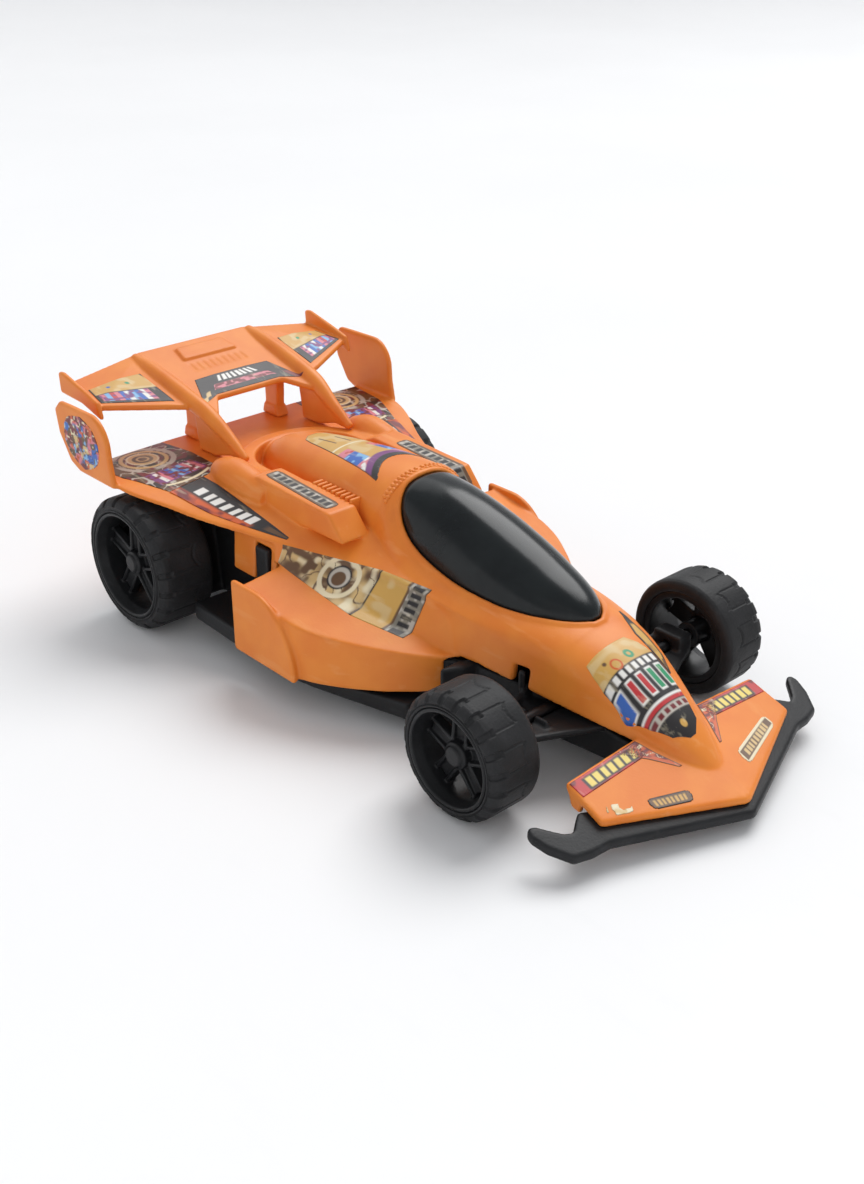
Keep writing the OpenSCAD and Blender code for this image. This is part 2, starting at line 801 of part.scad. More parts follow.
module tyre(r, rim_r, w) {
    difference() {
        rotate_extrude($fn = 72)
            polygon([
                [rim_r, 0.4], [rim_r + 0.6, 0], [r - 1.8, 0], [r - 0.6, 0.5], [r, 1.9], [r, w - 3],
                [r - 0.8, w - 1.2], [r - 2.3, w - 0.2], [rim_r + 0.6, w], [rim_r, w - 0.4]
            ]);
        for (i = [0:tyre_notches - 1])
            rotate([0, 0, i * 360 / tyre_notches])
                translate([r - 0.9, -0.7, w - 4.2]) cube([3, 1.4, 6]);
    }
}

module rear_rim_left() {
    color(black) at_rear() rim(rear_rim_r, rear_tyre_w);
}

module rear_rim_right() {
    color(black) mirror([1, 0, 0]) at_rear() rim(rear_rim_r, rear_tyre_w);
}

module rear_tyre_left() {
    color(black) at_rear() tyre(rear_tyre_r, rear_rim_r, rear_tyre_w);
}

module rear_tyre_right() {
    color(black) mirror([1, 0, 0]) at_rear() tyre(rear_tyre_r, rear_rim_r, rear_tyre_w);
}

module front_rim_left() {
    color(black) at_front() rim(front_rim_r, front_tyre_w);
}

module front_rim_right() {
    color(black) mirror([1, 0, 0]) at_front() rim(front_rim_r, front_tyre_w);
}

module front_tyre_left() {
    color(black) at_front() tyre(front_tyre_r, front_rim_r, front_tyre_w);
}

module front_tyre_right() {
    color(black) mirror([1, 0, 0]) at_front() tyre(front_tyre_r, front_rim_r, front_tyre_w);
}

module front_axle() {
    half = front_inner_x + front_tyre_w - 4.4;
    color(steel) cross_rod(axle_r, -half, half, front_axle_y, front_axle_z);
}

module rear_axle() {
    half = rear_inner_x + rear_tyre_w - 4.4;
    color(steel) cross_rod(axle_r, -half, half, rear_axle_y, rear_axle_z);
}

body_shell();
rear_wing();
canopy();
front_bumper();
chassis();
motor_case_left();
motor_case_right();
mainspring();
spring_gear();
spring_arbor();
compound_gear();
compound_arbor();
axle_pinion();
rear_axle();
rear_rim_left();
rear_rim_right();
rear_tyre_left();
rear_tyre_right();
front_axle();
front_rim_left();
front_rim_right();
front_tyre_left();
front_tyre_right();
body_screws();
motor_screws();
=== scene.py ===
"""Visual model of a pull back toy racing car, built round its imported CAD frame.

All sizes inside the classes are millimetres; meshes are written in metres. The nose points along -Y,
the car's left side is +X, and z = 0 is the ground.
"""

import logging
import math
from collections.abc import Callable, Sequence
from dataclasses import dataclass
from enum import Enum

import bpy
import numpy as np
import openvdb
from mathutils import Matrix, Vector
from mathutils.geometry import tessellate_polygon

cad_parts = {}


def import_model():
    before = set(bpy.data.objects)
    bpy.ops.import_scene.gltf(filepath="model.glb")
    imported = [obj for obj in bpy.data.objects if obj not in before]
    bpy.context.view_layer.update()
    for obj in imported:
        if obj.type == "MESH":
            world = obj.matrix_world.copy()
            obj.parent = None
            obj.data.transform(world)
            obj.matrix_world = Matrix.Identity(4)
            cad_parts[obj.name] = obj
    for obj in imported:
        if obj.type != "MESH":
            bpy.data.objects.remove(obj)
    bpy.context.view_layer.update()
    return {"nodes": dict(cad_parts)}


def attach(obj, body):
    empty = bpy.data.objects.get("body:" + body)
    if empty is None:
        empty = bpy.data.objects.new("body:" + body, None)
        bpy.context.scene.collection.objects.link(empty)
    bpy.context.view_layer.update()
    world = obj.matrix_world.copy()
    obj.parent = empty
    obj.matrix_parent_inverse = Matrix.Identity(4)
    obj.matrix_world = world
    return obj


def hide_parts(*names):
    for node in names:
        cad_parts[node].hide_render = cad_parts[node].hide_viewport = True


LOG = logging.getLogger("pull_back_car")
MM = 0.001
BAND = 4
CLOUD_LOW, CLOUD_HIGH = 0.35, 0.65
SCUFF_SHARE = 0.35
GRAIN_DEPTH = 0.4 * MM

Array = np.ndarray
Knots = Sequence[tuple[float, float]]


class Slot(Enum):
    """Material slots of the record."""

    ORANGE = "orange_plastic"
    CANOPY = "canopy_gloss"
    BLACK = "black_plastic"
    RIM = "rim_plastic"
    TYRE = "tyre"
    NYLON = "nylon"
    SPRING = "spring_steel"
    AXLE = "axle_steel"
    SCREW = "screw_steel"
    BRASS = "brass"


class Side(Enum):
    """The car's left side is +X and its right side is -X."""

    LEFT = 1.0
    RIGHT = -1.0


# ---------- surfaces ----------


@dataclass(frozen=True)
class Curve:
    """A smooth line through [place, value] knots: a monotone cubic, so it never overshoots a knot."""

    knots: Knots

    def __call__(self, place: Array | float) -> Array:
        """Value at each place, held level beyond the first and last knot.

        Args:
            place: Places along the car.

        Returns:
            Values, one for each place.
        """
        x, v = np.array(self.knots, float).T
        h = np.diff(x)
        d = np.diff(v) / h
        m = np.concatenate([d[:1], np.zeros(len(d) - 1), d[-1:]])
        same = d[:-1] * d[1:] > 0
        w0, w1 = 2 * h[1:] + h[:-1], h[1:] + 2 * h[:-1]
        safe0, safe1 = np.where(same, d[:-1], 1), np.where(same, d[1:], 1)
        m[1:-1] = np.where(same, (w0 + w1) / (w0 / safe0 + w1 / safe1), 0)
        p = np.clip(np.asarray(place, float), x[0], x[-1])
        i = np.clip(np.searchsorted(x, p) - 1, 0, len(h) - 1)
        t = (p - x[i]) / h[i]
        a, b = v[i] * (1 + 2 * t) + h[i] * m[i] * t, v[i + 1] * (3 - 2 * t) - h[i] * m[i + 1] * (1 - t)
        return a * (1 - t) ** 2 + b * t**2


@dataclass(frozen=True)
class Skin:
    """A closed surface: points and triangles."""

    points: Array
    triangles: Array

    def mirrored(self) -> "Skin":
        """The same skin on the car's other side, still facing outwards."""
        return Skin(self.points * [-1, 1, 1], self.triangles[:, ::-1])

    def turned(self, angle: float) -> "Skin":
        """The same skin turned about the X axis by an angle in radians."""
        c, s = math.cos(angle), math.sin(angle)
        return Skin(self.points @ np.array([[1, 0, 0], [0, c, s], [0, -s, c]]), self.triangles)


def loft(rings: Array) -> Skin:
    """Closes a grid of rings into a skin: quads between neighbouring rings and a flat cap at each end.

    Args:
        rings: Points of shape (rings, points in a ring, 3).

    Returns:
        The closed skin.
    """
    rings = np.asarray(rings, float)
    n, m = rings.shape[:2]
    i, j = np.meshgrid(np.arange(n - 1), np.arange(m), indexing="ij")
    a, b = i * m + j, i * m + (j + 1) % m
    c, d = b + m, a + m
    sides = np.concatenate([np.stack([a, b, c], -1), np.stack([a, c, d], -1)]).reshape(-1, 3)
    cap = np.array(tessellate_polygon([[Vector(p) for p in rings[0]]])).reshape(-1, 3)
    end = np.array(tessellate_polygon([[Vector(p) for p in rings[-1]]])).reshape(-1, 3)
    return Skin(rings.reshape(-1, 3), np.concatenate([sides, cap, end[:, ::-1] + (n - 1) * m]))


def side_prism(outline: Knots, x0: float, x1: float) -> Skin:
    """A plate across the car: the [y, z] outline carried from x0 to x1."""
    yz = np.array(outline, float)
    return loft(np.stack([np.column_stack([np.full(len(yz), x), yz]) for x in (x0, x1)]))


def plan_prism(outline: Knots, z0: float, z1: float) -> Skin:
    """A plate seen from above: the [x, y] outline carried from z0 to z1."""
    xy = np.array(outline, float)
    return loft(np.stack([np.column_stack([xy, np.full(len(xy), z)]) for z in (z0, z1)]))


def sloped_plate(outline: Knots, top: Callable[[Array, Array], Array], thick: float) -> Skin:
    """A plate whose top follows a height over the [x, y] outline, and whose underside lies thick below it."""
    x, y = np.array(outline, float).T
    z = top(x, y)
    return loft(np.stack([np.column_stack([x, y, z]), np.column_stack([x, y, z - thick])]))


def tube(path: Sequence[Sequence[float]], radii: Sequence[float], around: int = 20, steps: int = 40) -> Skin:
    """A round bar along a smooth path: circles set square to the path's direction.

    Args:
        path: Points the bar passes through.
        radii: Its radius at each of them.
        around: Points in a circle.
        steps: Circles along the bar.

    Returns:
        The closed skin.
    """
    knots = np.array(path, float)
    at = np.concatenate([[0], np.cumsum(np.linalg.norm(np.diff(knots, axis=0), axis=1))])
    s = np.linspace(0, at[-1], steps)
    centre = np.stack([Curve(list(zip(at, knots[:, k], strict=True)))(s) for k in range(3)], -1)
    r = Curve(list(zip(at, radii, strict=True)))(s)
    ahead = np.gradient(centre, axis=0)
    ahead /= np.linalg.norm(ahead, axis=1, keepdims=True)
    up = np.array([0.02, 0.13, 0.99])
    across = np.cross(ahead, up)
    across /= np.linalg.norm(across, axis=1, keepdims=True)
    over = np.cross(across, ahead)
    a = np.linspace(0, 2 * np.pi, around, endpoint=False)
    ring = np.cos(a)[None, :, None] * across[:, None] + np.sin(a)[None, :, None] * over[:, None]
    return loft(centre[:, None] + r[:, None, None] * ring)


def revolve(profile: Knots, around: int = 96) -> Skin:
    """A skin of revolution about the X axis: the closed [x, radius] profile is turned round the axis.

    Args:
        profile: Closed profile, which may touch the axis.
        around: Steps round the axis.

    Returns:
        The closed skin.
    """
    x, r = np.array(profile, float).T
    a = np.linspace(0, 2 * np.pi, around, endpoint=False)
    points = np.stack(
        [np.broadcast_to(x, (around, len(x))), np.outer(np.cos(a), r), np.outer(np.sin(a), r)], -1
    )
    m = len(x)
    i, j = np.meshgrid(np.arange(around), np.arange(m), indexing="ij")
    p, q = i * m + j, i * m + (j + 1) % m
    s, t = ((i + 1) % around) * m + (j + 1) % m, ((i + 1) % around) * m + j
    triangles = np.concatenate([np.stack([p, q, s], -1), np.stack([p, s, t], -1)]).reshape(-1, 3)
    return Skin(points.reshape(-1, 3), triangles)


class Moulding:
    """A block of signed distances in which closed skins are joined and cut, then rounded as a mould would."""

    def __init__(self, low: Sequence[float], high: Sequence[float], pitch: float) -> None:
        """Starts an empty block.

        Args:
            low: Lowest corner of the block.
            high: Highest corner of the block.
            pitch: Distance between samples.
        """
        self.pitch = pitch
        self.start = np.floor(np.array(low) / pitch).astype(int) - BAND - 2
        stop = np.ceil(np.array(high) / pitch).astype(int) + BAND + 2
        self.reach = np.float32(BAND * pitch)
        self.field = np.full(stop - self.start, self.reach, np.float32)

    def distances(self, skin: Skin) -> tuple[tuple[slice, ...], Array]:
        """Signed distances to a skin, and the part of the block that they fill."""
        grid = openvdb.FloatGrid.createLevelSetFromPolygons(
            np.ascontiguousarray(skin.points, np.float32),
            triangles=np.ascontiguousarray(skin.triangles, np.uint32),
            transform=openvdb.createLinearTransform(self.pitch),
            halfWidth=float(BAND),
        )
        low = np.floor(skin.points.min(0) / self.pitch).astype(int) - BAND - 1
        high = np.ceil(skin.points.max(0) / self.pitch).astype(int) + BAND + 2
        low = np.maximum(low, self.start)
        high = np.minimum(high, self.start + self.field.shape)
        block = np.full(np.maximum(high - low, 1), self.reach, np.float32)
        grid.copyToArray(block, ijk=tuple(int(v) for v in low))
        part = tuple(slice(a, b) for a, b in zip(low - self.start, high - self.start, strict=True))
        return part, block

    def add(self, *skins: Skin) -> None:
        """Joins skins to the block."""
        for skin in skins:
            part, block = self.distances(skin)
            self.field[part] = np.minimum(self.field[part], block)

    def cut(self, *skins: Skin) -> None:
        """Takes skins out of the block."""
        for skin in skins:
            part, block = self.distances(skin)
            self.field[part] = np.maximum(self.field[part], -block)

    def add_lip(self, opening: Skin, surface: Skin, width: float, height: float) -> None:
        """Raises a lip where the opening grown by width meets the surface grown by height."""
        part, near = self.distances(opening)
        other, block = self.distances(surface)
        ground = np.full(self.field.shape, self.reach, np.float32)
        ground[other] = block
        lip = np.maximum(near - width, ground[part] - height)
        self.field[part] = np.minimum(self.field[part], lip)

    def soften(self, passes: int) -> None:
        """Rounds edges and inner corners: a pass averages neighbours by 1, 2, 1 along all three axes."""
        f = self.field
        for axis in list(range(3)) * passes:
            g = np.moveaxis(f, axis, 0)
            inner = (g[:-2] + 2 * g[1:-1] + g[2:]) * np.float32(0.25)
            g[1:-1] = inner

    def build(self, name: str, most_triangles: int) -> bpy.types.Object:
        """Turns the block's zero surface into an object of at most that many triangles."""
        grid = openvdb.FloatGrid(float(self.reach))
        grid.copyFromArray(self.field, ijk=tuple(int(v) for v in self.start), tolerance=0.0)
        grid.transform = openvdb.createLinearTransform(self.pitch)
        points, quads = grid.convertToQuads(0.0)
        obj = mesh_object(name, points, quads[:, ::-1])
        count = 2 * len(quads)
        if count > most_triangles:
            lean = obj.modifiers.new("Lean", "DECIMATE")
            lean.ratio = most_triangles / count
            apply_modifiers(obj)
        return obj


def mesh_object(name: str, points: Array, faces: Array) -> bpy.types.Object:
    """Makes a smooth-shaded mesh object from points in millimetres and an array of faces.

    Args:
        name: The piece's name.
        points: Points in millimetres.
        faces: Corner indices, one row for each face.

    Returns:
        The linked object.
    """
    mesh = bpy.data.meshes.new(name)
    corners = faces.shape[1]
    mesh.vertices.add(len(points))
    mesh.vertices.foreach_set("co", (np.asarray(points, np.float32) * MM).ravel())
    mesh.loops.add(faces.size)
    mesh.loops.foreach_set("vertex_index", np.ascontiguousarray(faces, np.int32).ravel())
    mesh.polygons.add(len(faces))
    mesh.polygons.foreach_set("loop_start", np.arange(0, faces.size, corners, dtype=np.int32))
    mesh.update(calc_edges=True)
    mesh.polygons.foreach_set("use_smooth", np.full(len(faces), True))
    obj = bpy.data.objects.new(name, mesh)
    bpy.context.scene.collection.objects.link(obj)
    return obj


def sheet_quads(n: int, m: int) -> Array:
    """Faces of an open grid of n by m points, numbered row by row."""
    i, j = np.meshgrid(np.arange(n - 1), np.arange(m - 1), indexing="ij")
    return np.stack([i * m + j, (i + 1) * m + j, (i + 1) * m + j + 1, i * m + j + 1], -1).reshape(-1, 4)


def apply_modifiers(obj: bpy.types.Object) -> None:
    """Makes an object's modifiers part of its mesh."""
    graph = bpy.context.evaluated_depsgraph_get()
    mesh = bpy.data.meshes.new_from_object(obj.evaluated_get(graph))
    obj.modifiers.clear()
    old = obj.data
    obj.data = mesh
    mesh.name = obj.name
    bpy.data.meshes.remove(old)


def both(*skins: Skin) -> list[Skin]:
    """The skins and their mirror images."""
    return [*skins, *(s.mirrored() for s in skins)]


# ---------- finishes ----------


def grain_group() -> bpy.types.NodeTree:
    """Shared node group: cloudy tone, a fine moulded height and faint scuffs, all from object coordinates."""
    name = "MouldedGrain"
    if name in bpy.data.node_groups:
        return bpy.data.node_groups[name]
    group = bpy.data.node_groups.new(name, "ShaderNodeTree")
    face = group.interface
    for label, value in (("Cloud Size", 90.0), ("Grain Size", 1500.0), ("Scuff Size", 260.0)):
        face.new_socket(label, in_out="INPUT", socket_type="NodeSocketFloat").default_value = value
    for label in ("Cloud", "Height", "Scuff"):
        face.new_socket(label, in_out="OUTPUT", socket_type="NodeSocketFloat")
    n, link = group.nodes, group.links.new
    given, out = n.new("NodeGroupInput"), n.new("NodeGroupOutput")
    place = n.new("ShaderNodeTexCoord")
    cloud, grain, scuff = (n.new("ShaderNodeTexNoise") for _ in range(3))
    cloud.inputs["Detail"].default_value = 4
    grain.inputs["Detail"].default_value = 2
    scuff.inputs["Detail"].default_value = 6
    stretch = n.new("ShaderNodeMapping")
    stretch.inputs["Scale"].default_value = (1.0, 0.16, 1.0)
    stretch.inputs["Rotation"].default_value = (0.2, 0.1, 0.5)
    link(place.outputs["Object"], cloud.inputs["Vector"])
    link(place.outputs["Object"], grain.inputs["Vector"])
    link(place.outputs["Object"], stretch.inputs["Vector"])
    link(stretch.outputs["Vector"], scuff.inputs["Vector"])
    link(given.outputs["Cloud Size"], cloud.inputs["Scale"])
    link(given.outputs["Grain Size"], grain.inputs["Scale"])
    link(given.outputs["Scuff Size"], scuff.inputs["Scale"])
    marks = n.new("ShaderNodeMapRange")
    marks.inputs["From Min"].default_value = 0.6
    marks.inputs["From Max"].default_value = 0.74
    link(scuff.outputs["Fac"], marks.inputs["Value"])
    link(cloud.outputs["Fac"], out.inputs["Cloud"])
    link(grain.outputs["Fac"], out.inputs["Height"])
    link(marks.outputs["Result"], out.inputs["Scuff"])
    return group


@dataclass(frozen=True)
class Finish:
    """A surface finish: two tones mixed by the cloud, and how glossy, metallic and grainy it is."""

    name: str
    tone: tuple[float, float, float]
    second: tuple[float, float, float]
    roughness: float
    scuffed: float = 0.12
    metallic: float = 0.0
    grain: float = 0.05
    cloud_size: float = 90.0
    grain_size: float = 1500.0
    scuff_tone: tuple[float, float, float] | None = None
    specular: float = 0.5

    def material(self) -> bpy.types.Material:
        """The finish as a material, made once."""
        if self.name in bpy.data.materials:
            return bpy.data.materials[self.name]
        mat = bpy.data.materials.new(self.name)
        mat.use_nodes = True
        n, link = mat.node_tree.nodes, mat.node_tree.links.new
        shader = n["Principled BSDF"]
        grain = n.new("ShaderNodeGroup")
        grain.node_tree = grain_group()
        grain.inputs["Cloud Size"].default_value = self.cloud_size
        grain.inputs["Grain Size"].default_value = self.grain_size
        spread = n.new("ShaderNodeMapRange")
        spread.inputs["From Min"].default_value = CLOUD_LOW
        spread.inputs["From Max"].default_value = CLOUD_HIGH
        link(grain.outputs["Cloud"], spread.inputs["Value"])
        tones = mix_colour(mat.node_tree, spread.outputs["Result"], self.tone, self.second)
        if self.scuff_tone:
            faint = n.new("ShaderNodeMath")
            faint.operation = "MULTIPLY"
            faint.inputs[1].default_value = SCUFF_SHARE
            link(grain.outputs["Scuff"], faint.inputs[0])
            tones = mix_colour(mat.node_tree, faint.outputs[0], tones, self.scuff_tone)
        link(tones, shader.inputs["Base Color"])
        rough = n.new("ShaderNodeMath")
        rough.operation = "MULTIPLY_ADD"
        rough.inputs[1].default_value = self.scuffed
        rough.inputs[2].default_value = self.roughness
        link(grain.outputs["Scuff"], rough.inputs[0])
        link(rough.outputs[0], shader.inputs["Roughness"])
        bump = n.new("ShaderNodeBump")
        bump.inputs["Strength"].default_value = self.grain
        bump.inputs["Distance"].default_value = GRAIN_DEPTH
        link(grain.outputs["Height"], bump.inputs["Height"])
        link(bump.outputs["Normal"], shader.inputs["Normal"])
        shader.inputs["Metallic"].default_value = self.metallic
        shader.inputs["Specular IOR Level"].default_value = self.specular
        return mat


Colour = tuple[float, float, float] | bpy.types.NodeSocket


def mix_colour(
    tree: bpy.types.NodeTree, factor: bpy.types.NodeSocket, a: Colour, b: Colour
) -> bpy.types.NodeSocket:
    """Mixes two colours, each a plain tone or another node's output, by a factor."""
    node = tree.nodes.new("ShaderNodeMix")
    node.data_type = "RGBA"
    tree.links.new(factor, node.inputs["Factor"])
    for socket, value in ((node.inputs[6], a), (node.inputs[7], b)):
        if isinstance(value, bpy.types.NodeSocket):
            tree.links.new(value, socket)
        else:
            socket.default_value = (*value, 1.0)
    return node.outputs[2]


FINISHES: dict[Slot, Finish] = {
    Slot.ORANGE: Finish(
        "OrangePlastic", (0.82, 0.250, 0.034), (0.77, 0.205, 0.026), 0.42, grain=0.06,
        scuff_tone=(0.90, 0.42, 0.16), specular=0.35,
    ),
    Slot.CANOPY: Finish(
        "GlossBlack", (0.006, 0.008, 0.009), (0.010, 0.013, 0.014), 0.20, grain=0.02, specular=0.26,
    ),
    Slot.BLACK: Finish(
        "BlackPlastic", (0.0125, 0.0128, 0.014), (0.018, 0.0185, 0.020), 0.42, grain=0.12,
        scuff_tone=(0.06, 0.06, 0.065), specular=0.25,
    ),
    Slot.RIM: Finish(
        "RimPlastic", (0.010, 0.0102, 0.011), (0.015, 0.0155, 0.017), 0.38, grain=0.1,
        scuff_tone=(0.05, 0.05, 0.055), specular=0.25,
    ),
    Slot.TYRE: Finish(
        "TyreRubber", (0.0115, 0.0117, 0.0125), (0.019, 0.019, 0.0205), 0.56, scuffed=0.2, grain=0.25,
        cloud_size=160.0, scuff_tone=(0.045, 0.045, 0.048), specular=0.28,
    ),
    Slot.NYLON: Finish("Nylon", (0.72, 0.68, 0.56), (0.66, 0.61, 0.49), 0.45),
    Slot.SPRING: Finish("SpringSteel", (0.22, 0.23, 0.26), (0.30, 0.30, 0.31), 0.32, metallic=1.0),
    Slot.AXLE: Finish("AxleSteel", (0.045, 0.045, 0.047), (0.032, 0.032, 0.034), 0.45, metallic=1.0),
    Slot.SCREW: Finish("ScrewSteel", (0.42, 0.41, 0.38), (0.34, 0.33, 0.31), 0.34, metallic=1.0),
    Slot.BRASS: Finish("Brass", (0.62, 0.41, 0.14), (0.52, 0.33, 0.10), 0.32, metallic=1.0),
}


def dress(obj: bpy.types.Object, slot: Slot, body: str, *replaced: str) -> bpy.types.Object:
    """Gives a new piece its finish, its moving body and the CAD nodes it stands for."""
    obj.data.materials.clear()
    obj.data.materials.append(FINISHES[slot].material())
    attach(obj, body)
    if replaced:
        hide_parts(*replaced)
    LOG.info("%s: %d faces", obj.name, len(obj.data.polygons))
    return obj


# ---------- body ----------


def front_plane(x: Array, y: Array) -> Array:
    """Top of the front wing: it rises towards the rear and droops towards its ends."""
    return 7.9 - 0.083 * np.abs(x) + 0.366 * (y + 110.4)


def rear_plane(y: Array | float) -> Array | float:
    """Top of the rear wing's centre."""
    return 59.0 + 0.25 * (y - 81.0)


@dataclass(frozen=True)
class Spine:
    """The long central form: nose, cockpit surround and engine cover."""

    crest: Curve = Curve((
        (-101, 10.8), (-96, 16), (-90, 20.8), (-84, 24.6), (-76, 29.3), (-67, 33.2), (-59, 35.2),
        (-50, 36), (-42, 36), (-30, 36.8), (-20, 38.4), (-10, 41.6), (-4, 45.2), (0, 49.6),
        (3, 55.2), (8, 56.1), (16, 55.9), (26, 55.1), (39, 53.8), (50, 52.3), (57, 51),
        (62, 49.3), (67, 46.3), (71, 42.6), (74, 39.5),
    ))
    shoulder_w: Curve = Curve((
        (-101, 1.6), (-96, 5), (-90, 7.6), (-84, 9.6), (-76, 11.9), (-67, 14.3), (-59, 15.7),
        (-50, 17.2), (-42, 18.5), (-30, 19.8), (-20, 20.4), (-10, 19.6), (-4, 18.2), (0, 17),
        (4, 15.8), (8, 15.2), (16, 14.8), (26, 14.2), (39, 13.1), (50, 11.8), (57, 10.6),
        (62, 9.4), (67, 7.6), (71, 5.2), (74, 2.4),
    ))
    shoulder_z: Curve = Curve((
        (-101, 9.8), (-96, 12), (-90, 14.6), (-84, 17.4), (-76, 21), (-67, 24.4), (-59, 26.6),
        (-50, 28.2), (-42, 29.4), (-30, 31), (-20, 32.4), (-10, 34.5), (0, 38), (8, 40.5),
        (30, 41.5), (74, 38),
    ))
    sill_w: Curve = Curve((
        (-101, 2), (-90, 8.6), (-76, 12.9), (-59, 17), (-42, 19.8), (-30, 21.2), (0, 18), (74, 3),
    ))
    sill_z: Curve = Curve((
        (-101, 9), (-90, 12.2), (-84, 14.8), (-76, 16.3), (-59, 19), (-42, 21), (-30, 21.6),
        (-20, 30), (74, 36),
    ))
    roundness: float = 0.86
    arc_steps: int = 44
    rings: int = 110
    y0: float = -101.0
    y1: float = 74.0

    def skin(self, y0: float, y1: float, inset: float = 0.0, deep: float = 0.0) -> Skin:
        """Loft of arcs along the car: x = w sign(c) |c|^k and z = shoulder + h sin^k, over a flat sill.

        Args:
            y0: Front end.
            y1: Rear end.
            inset: How far the ring is drawn in.
            deep: How far the open underside is carried down.

        Returns:
            The closed skin.
        """
        y = np.linspace(y0, y1, self.rings)[:, None]
        a = np.linspace(math.pi, 0, self.arc_steps)[None]
        c = np.cos(a)
        w, low_w = self.shoulder_w(y) - inset, self.sill_w(y) - inset
        zs, low_z = self.shoulder_z(y), self.sill_z(y) - deep
        h = self.crest(y) - inset - zs
        x = w * np.sign(c) * np.abs(c) ** self.roundness
        z = zs + h * np.sin(a) ** self.roundness
        x = np.hstack([-low_w, x, low_w])
        z = np.hstack([low_z, z, low_z])
        return loft(np.stack([x, np.broadcast_to(y, x.shape), z], -1))


@dataclass(frozen=True)
class Canopy:
    """The glossy dome over the cockpit."""

    crest: Curve = Curve((
        (-60, 36.4), (-59, 37.6), (-57, 39), (-54, 40.6), (-50, 42.4), (-45, 44.4), (-39, 46.8),
        (-31, 49.6), (-23, 52), (-15, 53.9), (-8, 55), (-3, 55.3), (0, 55.3), (2, 54.9), (3.1, 54.2),
    ))
    half: Curve = Curve((
        (-60, 1.4), (-59, 3.2), (-57, 5.4), (-54, 7.6), (-50, 9.5), (-45, 11), (-39, 12.3), (-31, 13.3),
        (-23, 13.8), (-15, 13.7), (-8, 13.2), (-3, 12.2), (0, 10.8), (2, 8.4), (3.1, 6),
    ))
    low: Curve = Curve((
        (-60, 35.6), (-54, 34.6), (-42, 34), (-31, 34.6), (-23, 35.6), (-15, 37.4), (-8, 40.6),
        (-3, 44.6), (0, 48), (2, 51), (3.1, 52.6),
    ))
    y0: float = -60.0
    y1: float = 3.1
    roundness: float = 0.92
    arc_steps: int = 48
    rings: int = 120
    wall: float = 1.4
    least_rise: float = 0.3

    def skin(self, y0: float, y1: float, inset: float = 0.0, deep: float = 0.0) -> Skin:
        """Loft of arcs like the spine's, with a rounder top, its open side carried down by deep."""
        y = np.linspace(y0, y1, self.rings)[:, None]
        a = np.linspace(math.pi, 0, self.arc_steps)[None]
        c = np.cos(a)
        w, zl = self.half(y) - inset, self.low(y)
        h = np.maximum(self.crest(y) - inset - zl, self.least_rise)
        x = w * np.sign(c) * np.abs(c) ** self.roundness
        z = zl + h * np.sin(a) ** self.roundness
        x = np.hstack([-w, x, w])
        z = np.hstack([zl - deep, z, zl - deep])
        return loft(np.stack([x, np.broadcast_to(y, x.shape), z], -1))

    def build(self) -> None:
        """The dome as one thin moulding."""
        mould = Moulding((-15, -61, 32), (15, 4, 57), 0.3)
        mould.add(self.skin(self.y0, self.y1, deep=0.8))
        mould.cut(self.skin(-58, 1, inset=self.wall, deep=4))
        mould.soften(2)
        dress(mould.build("canopy_dome", 90000), Slot.CANOPY, "car", "canopy")


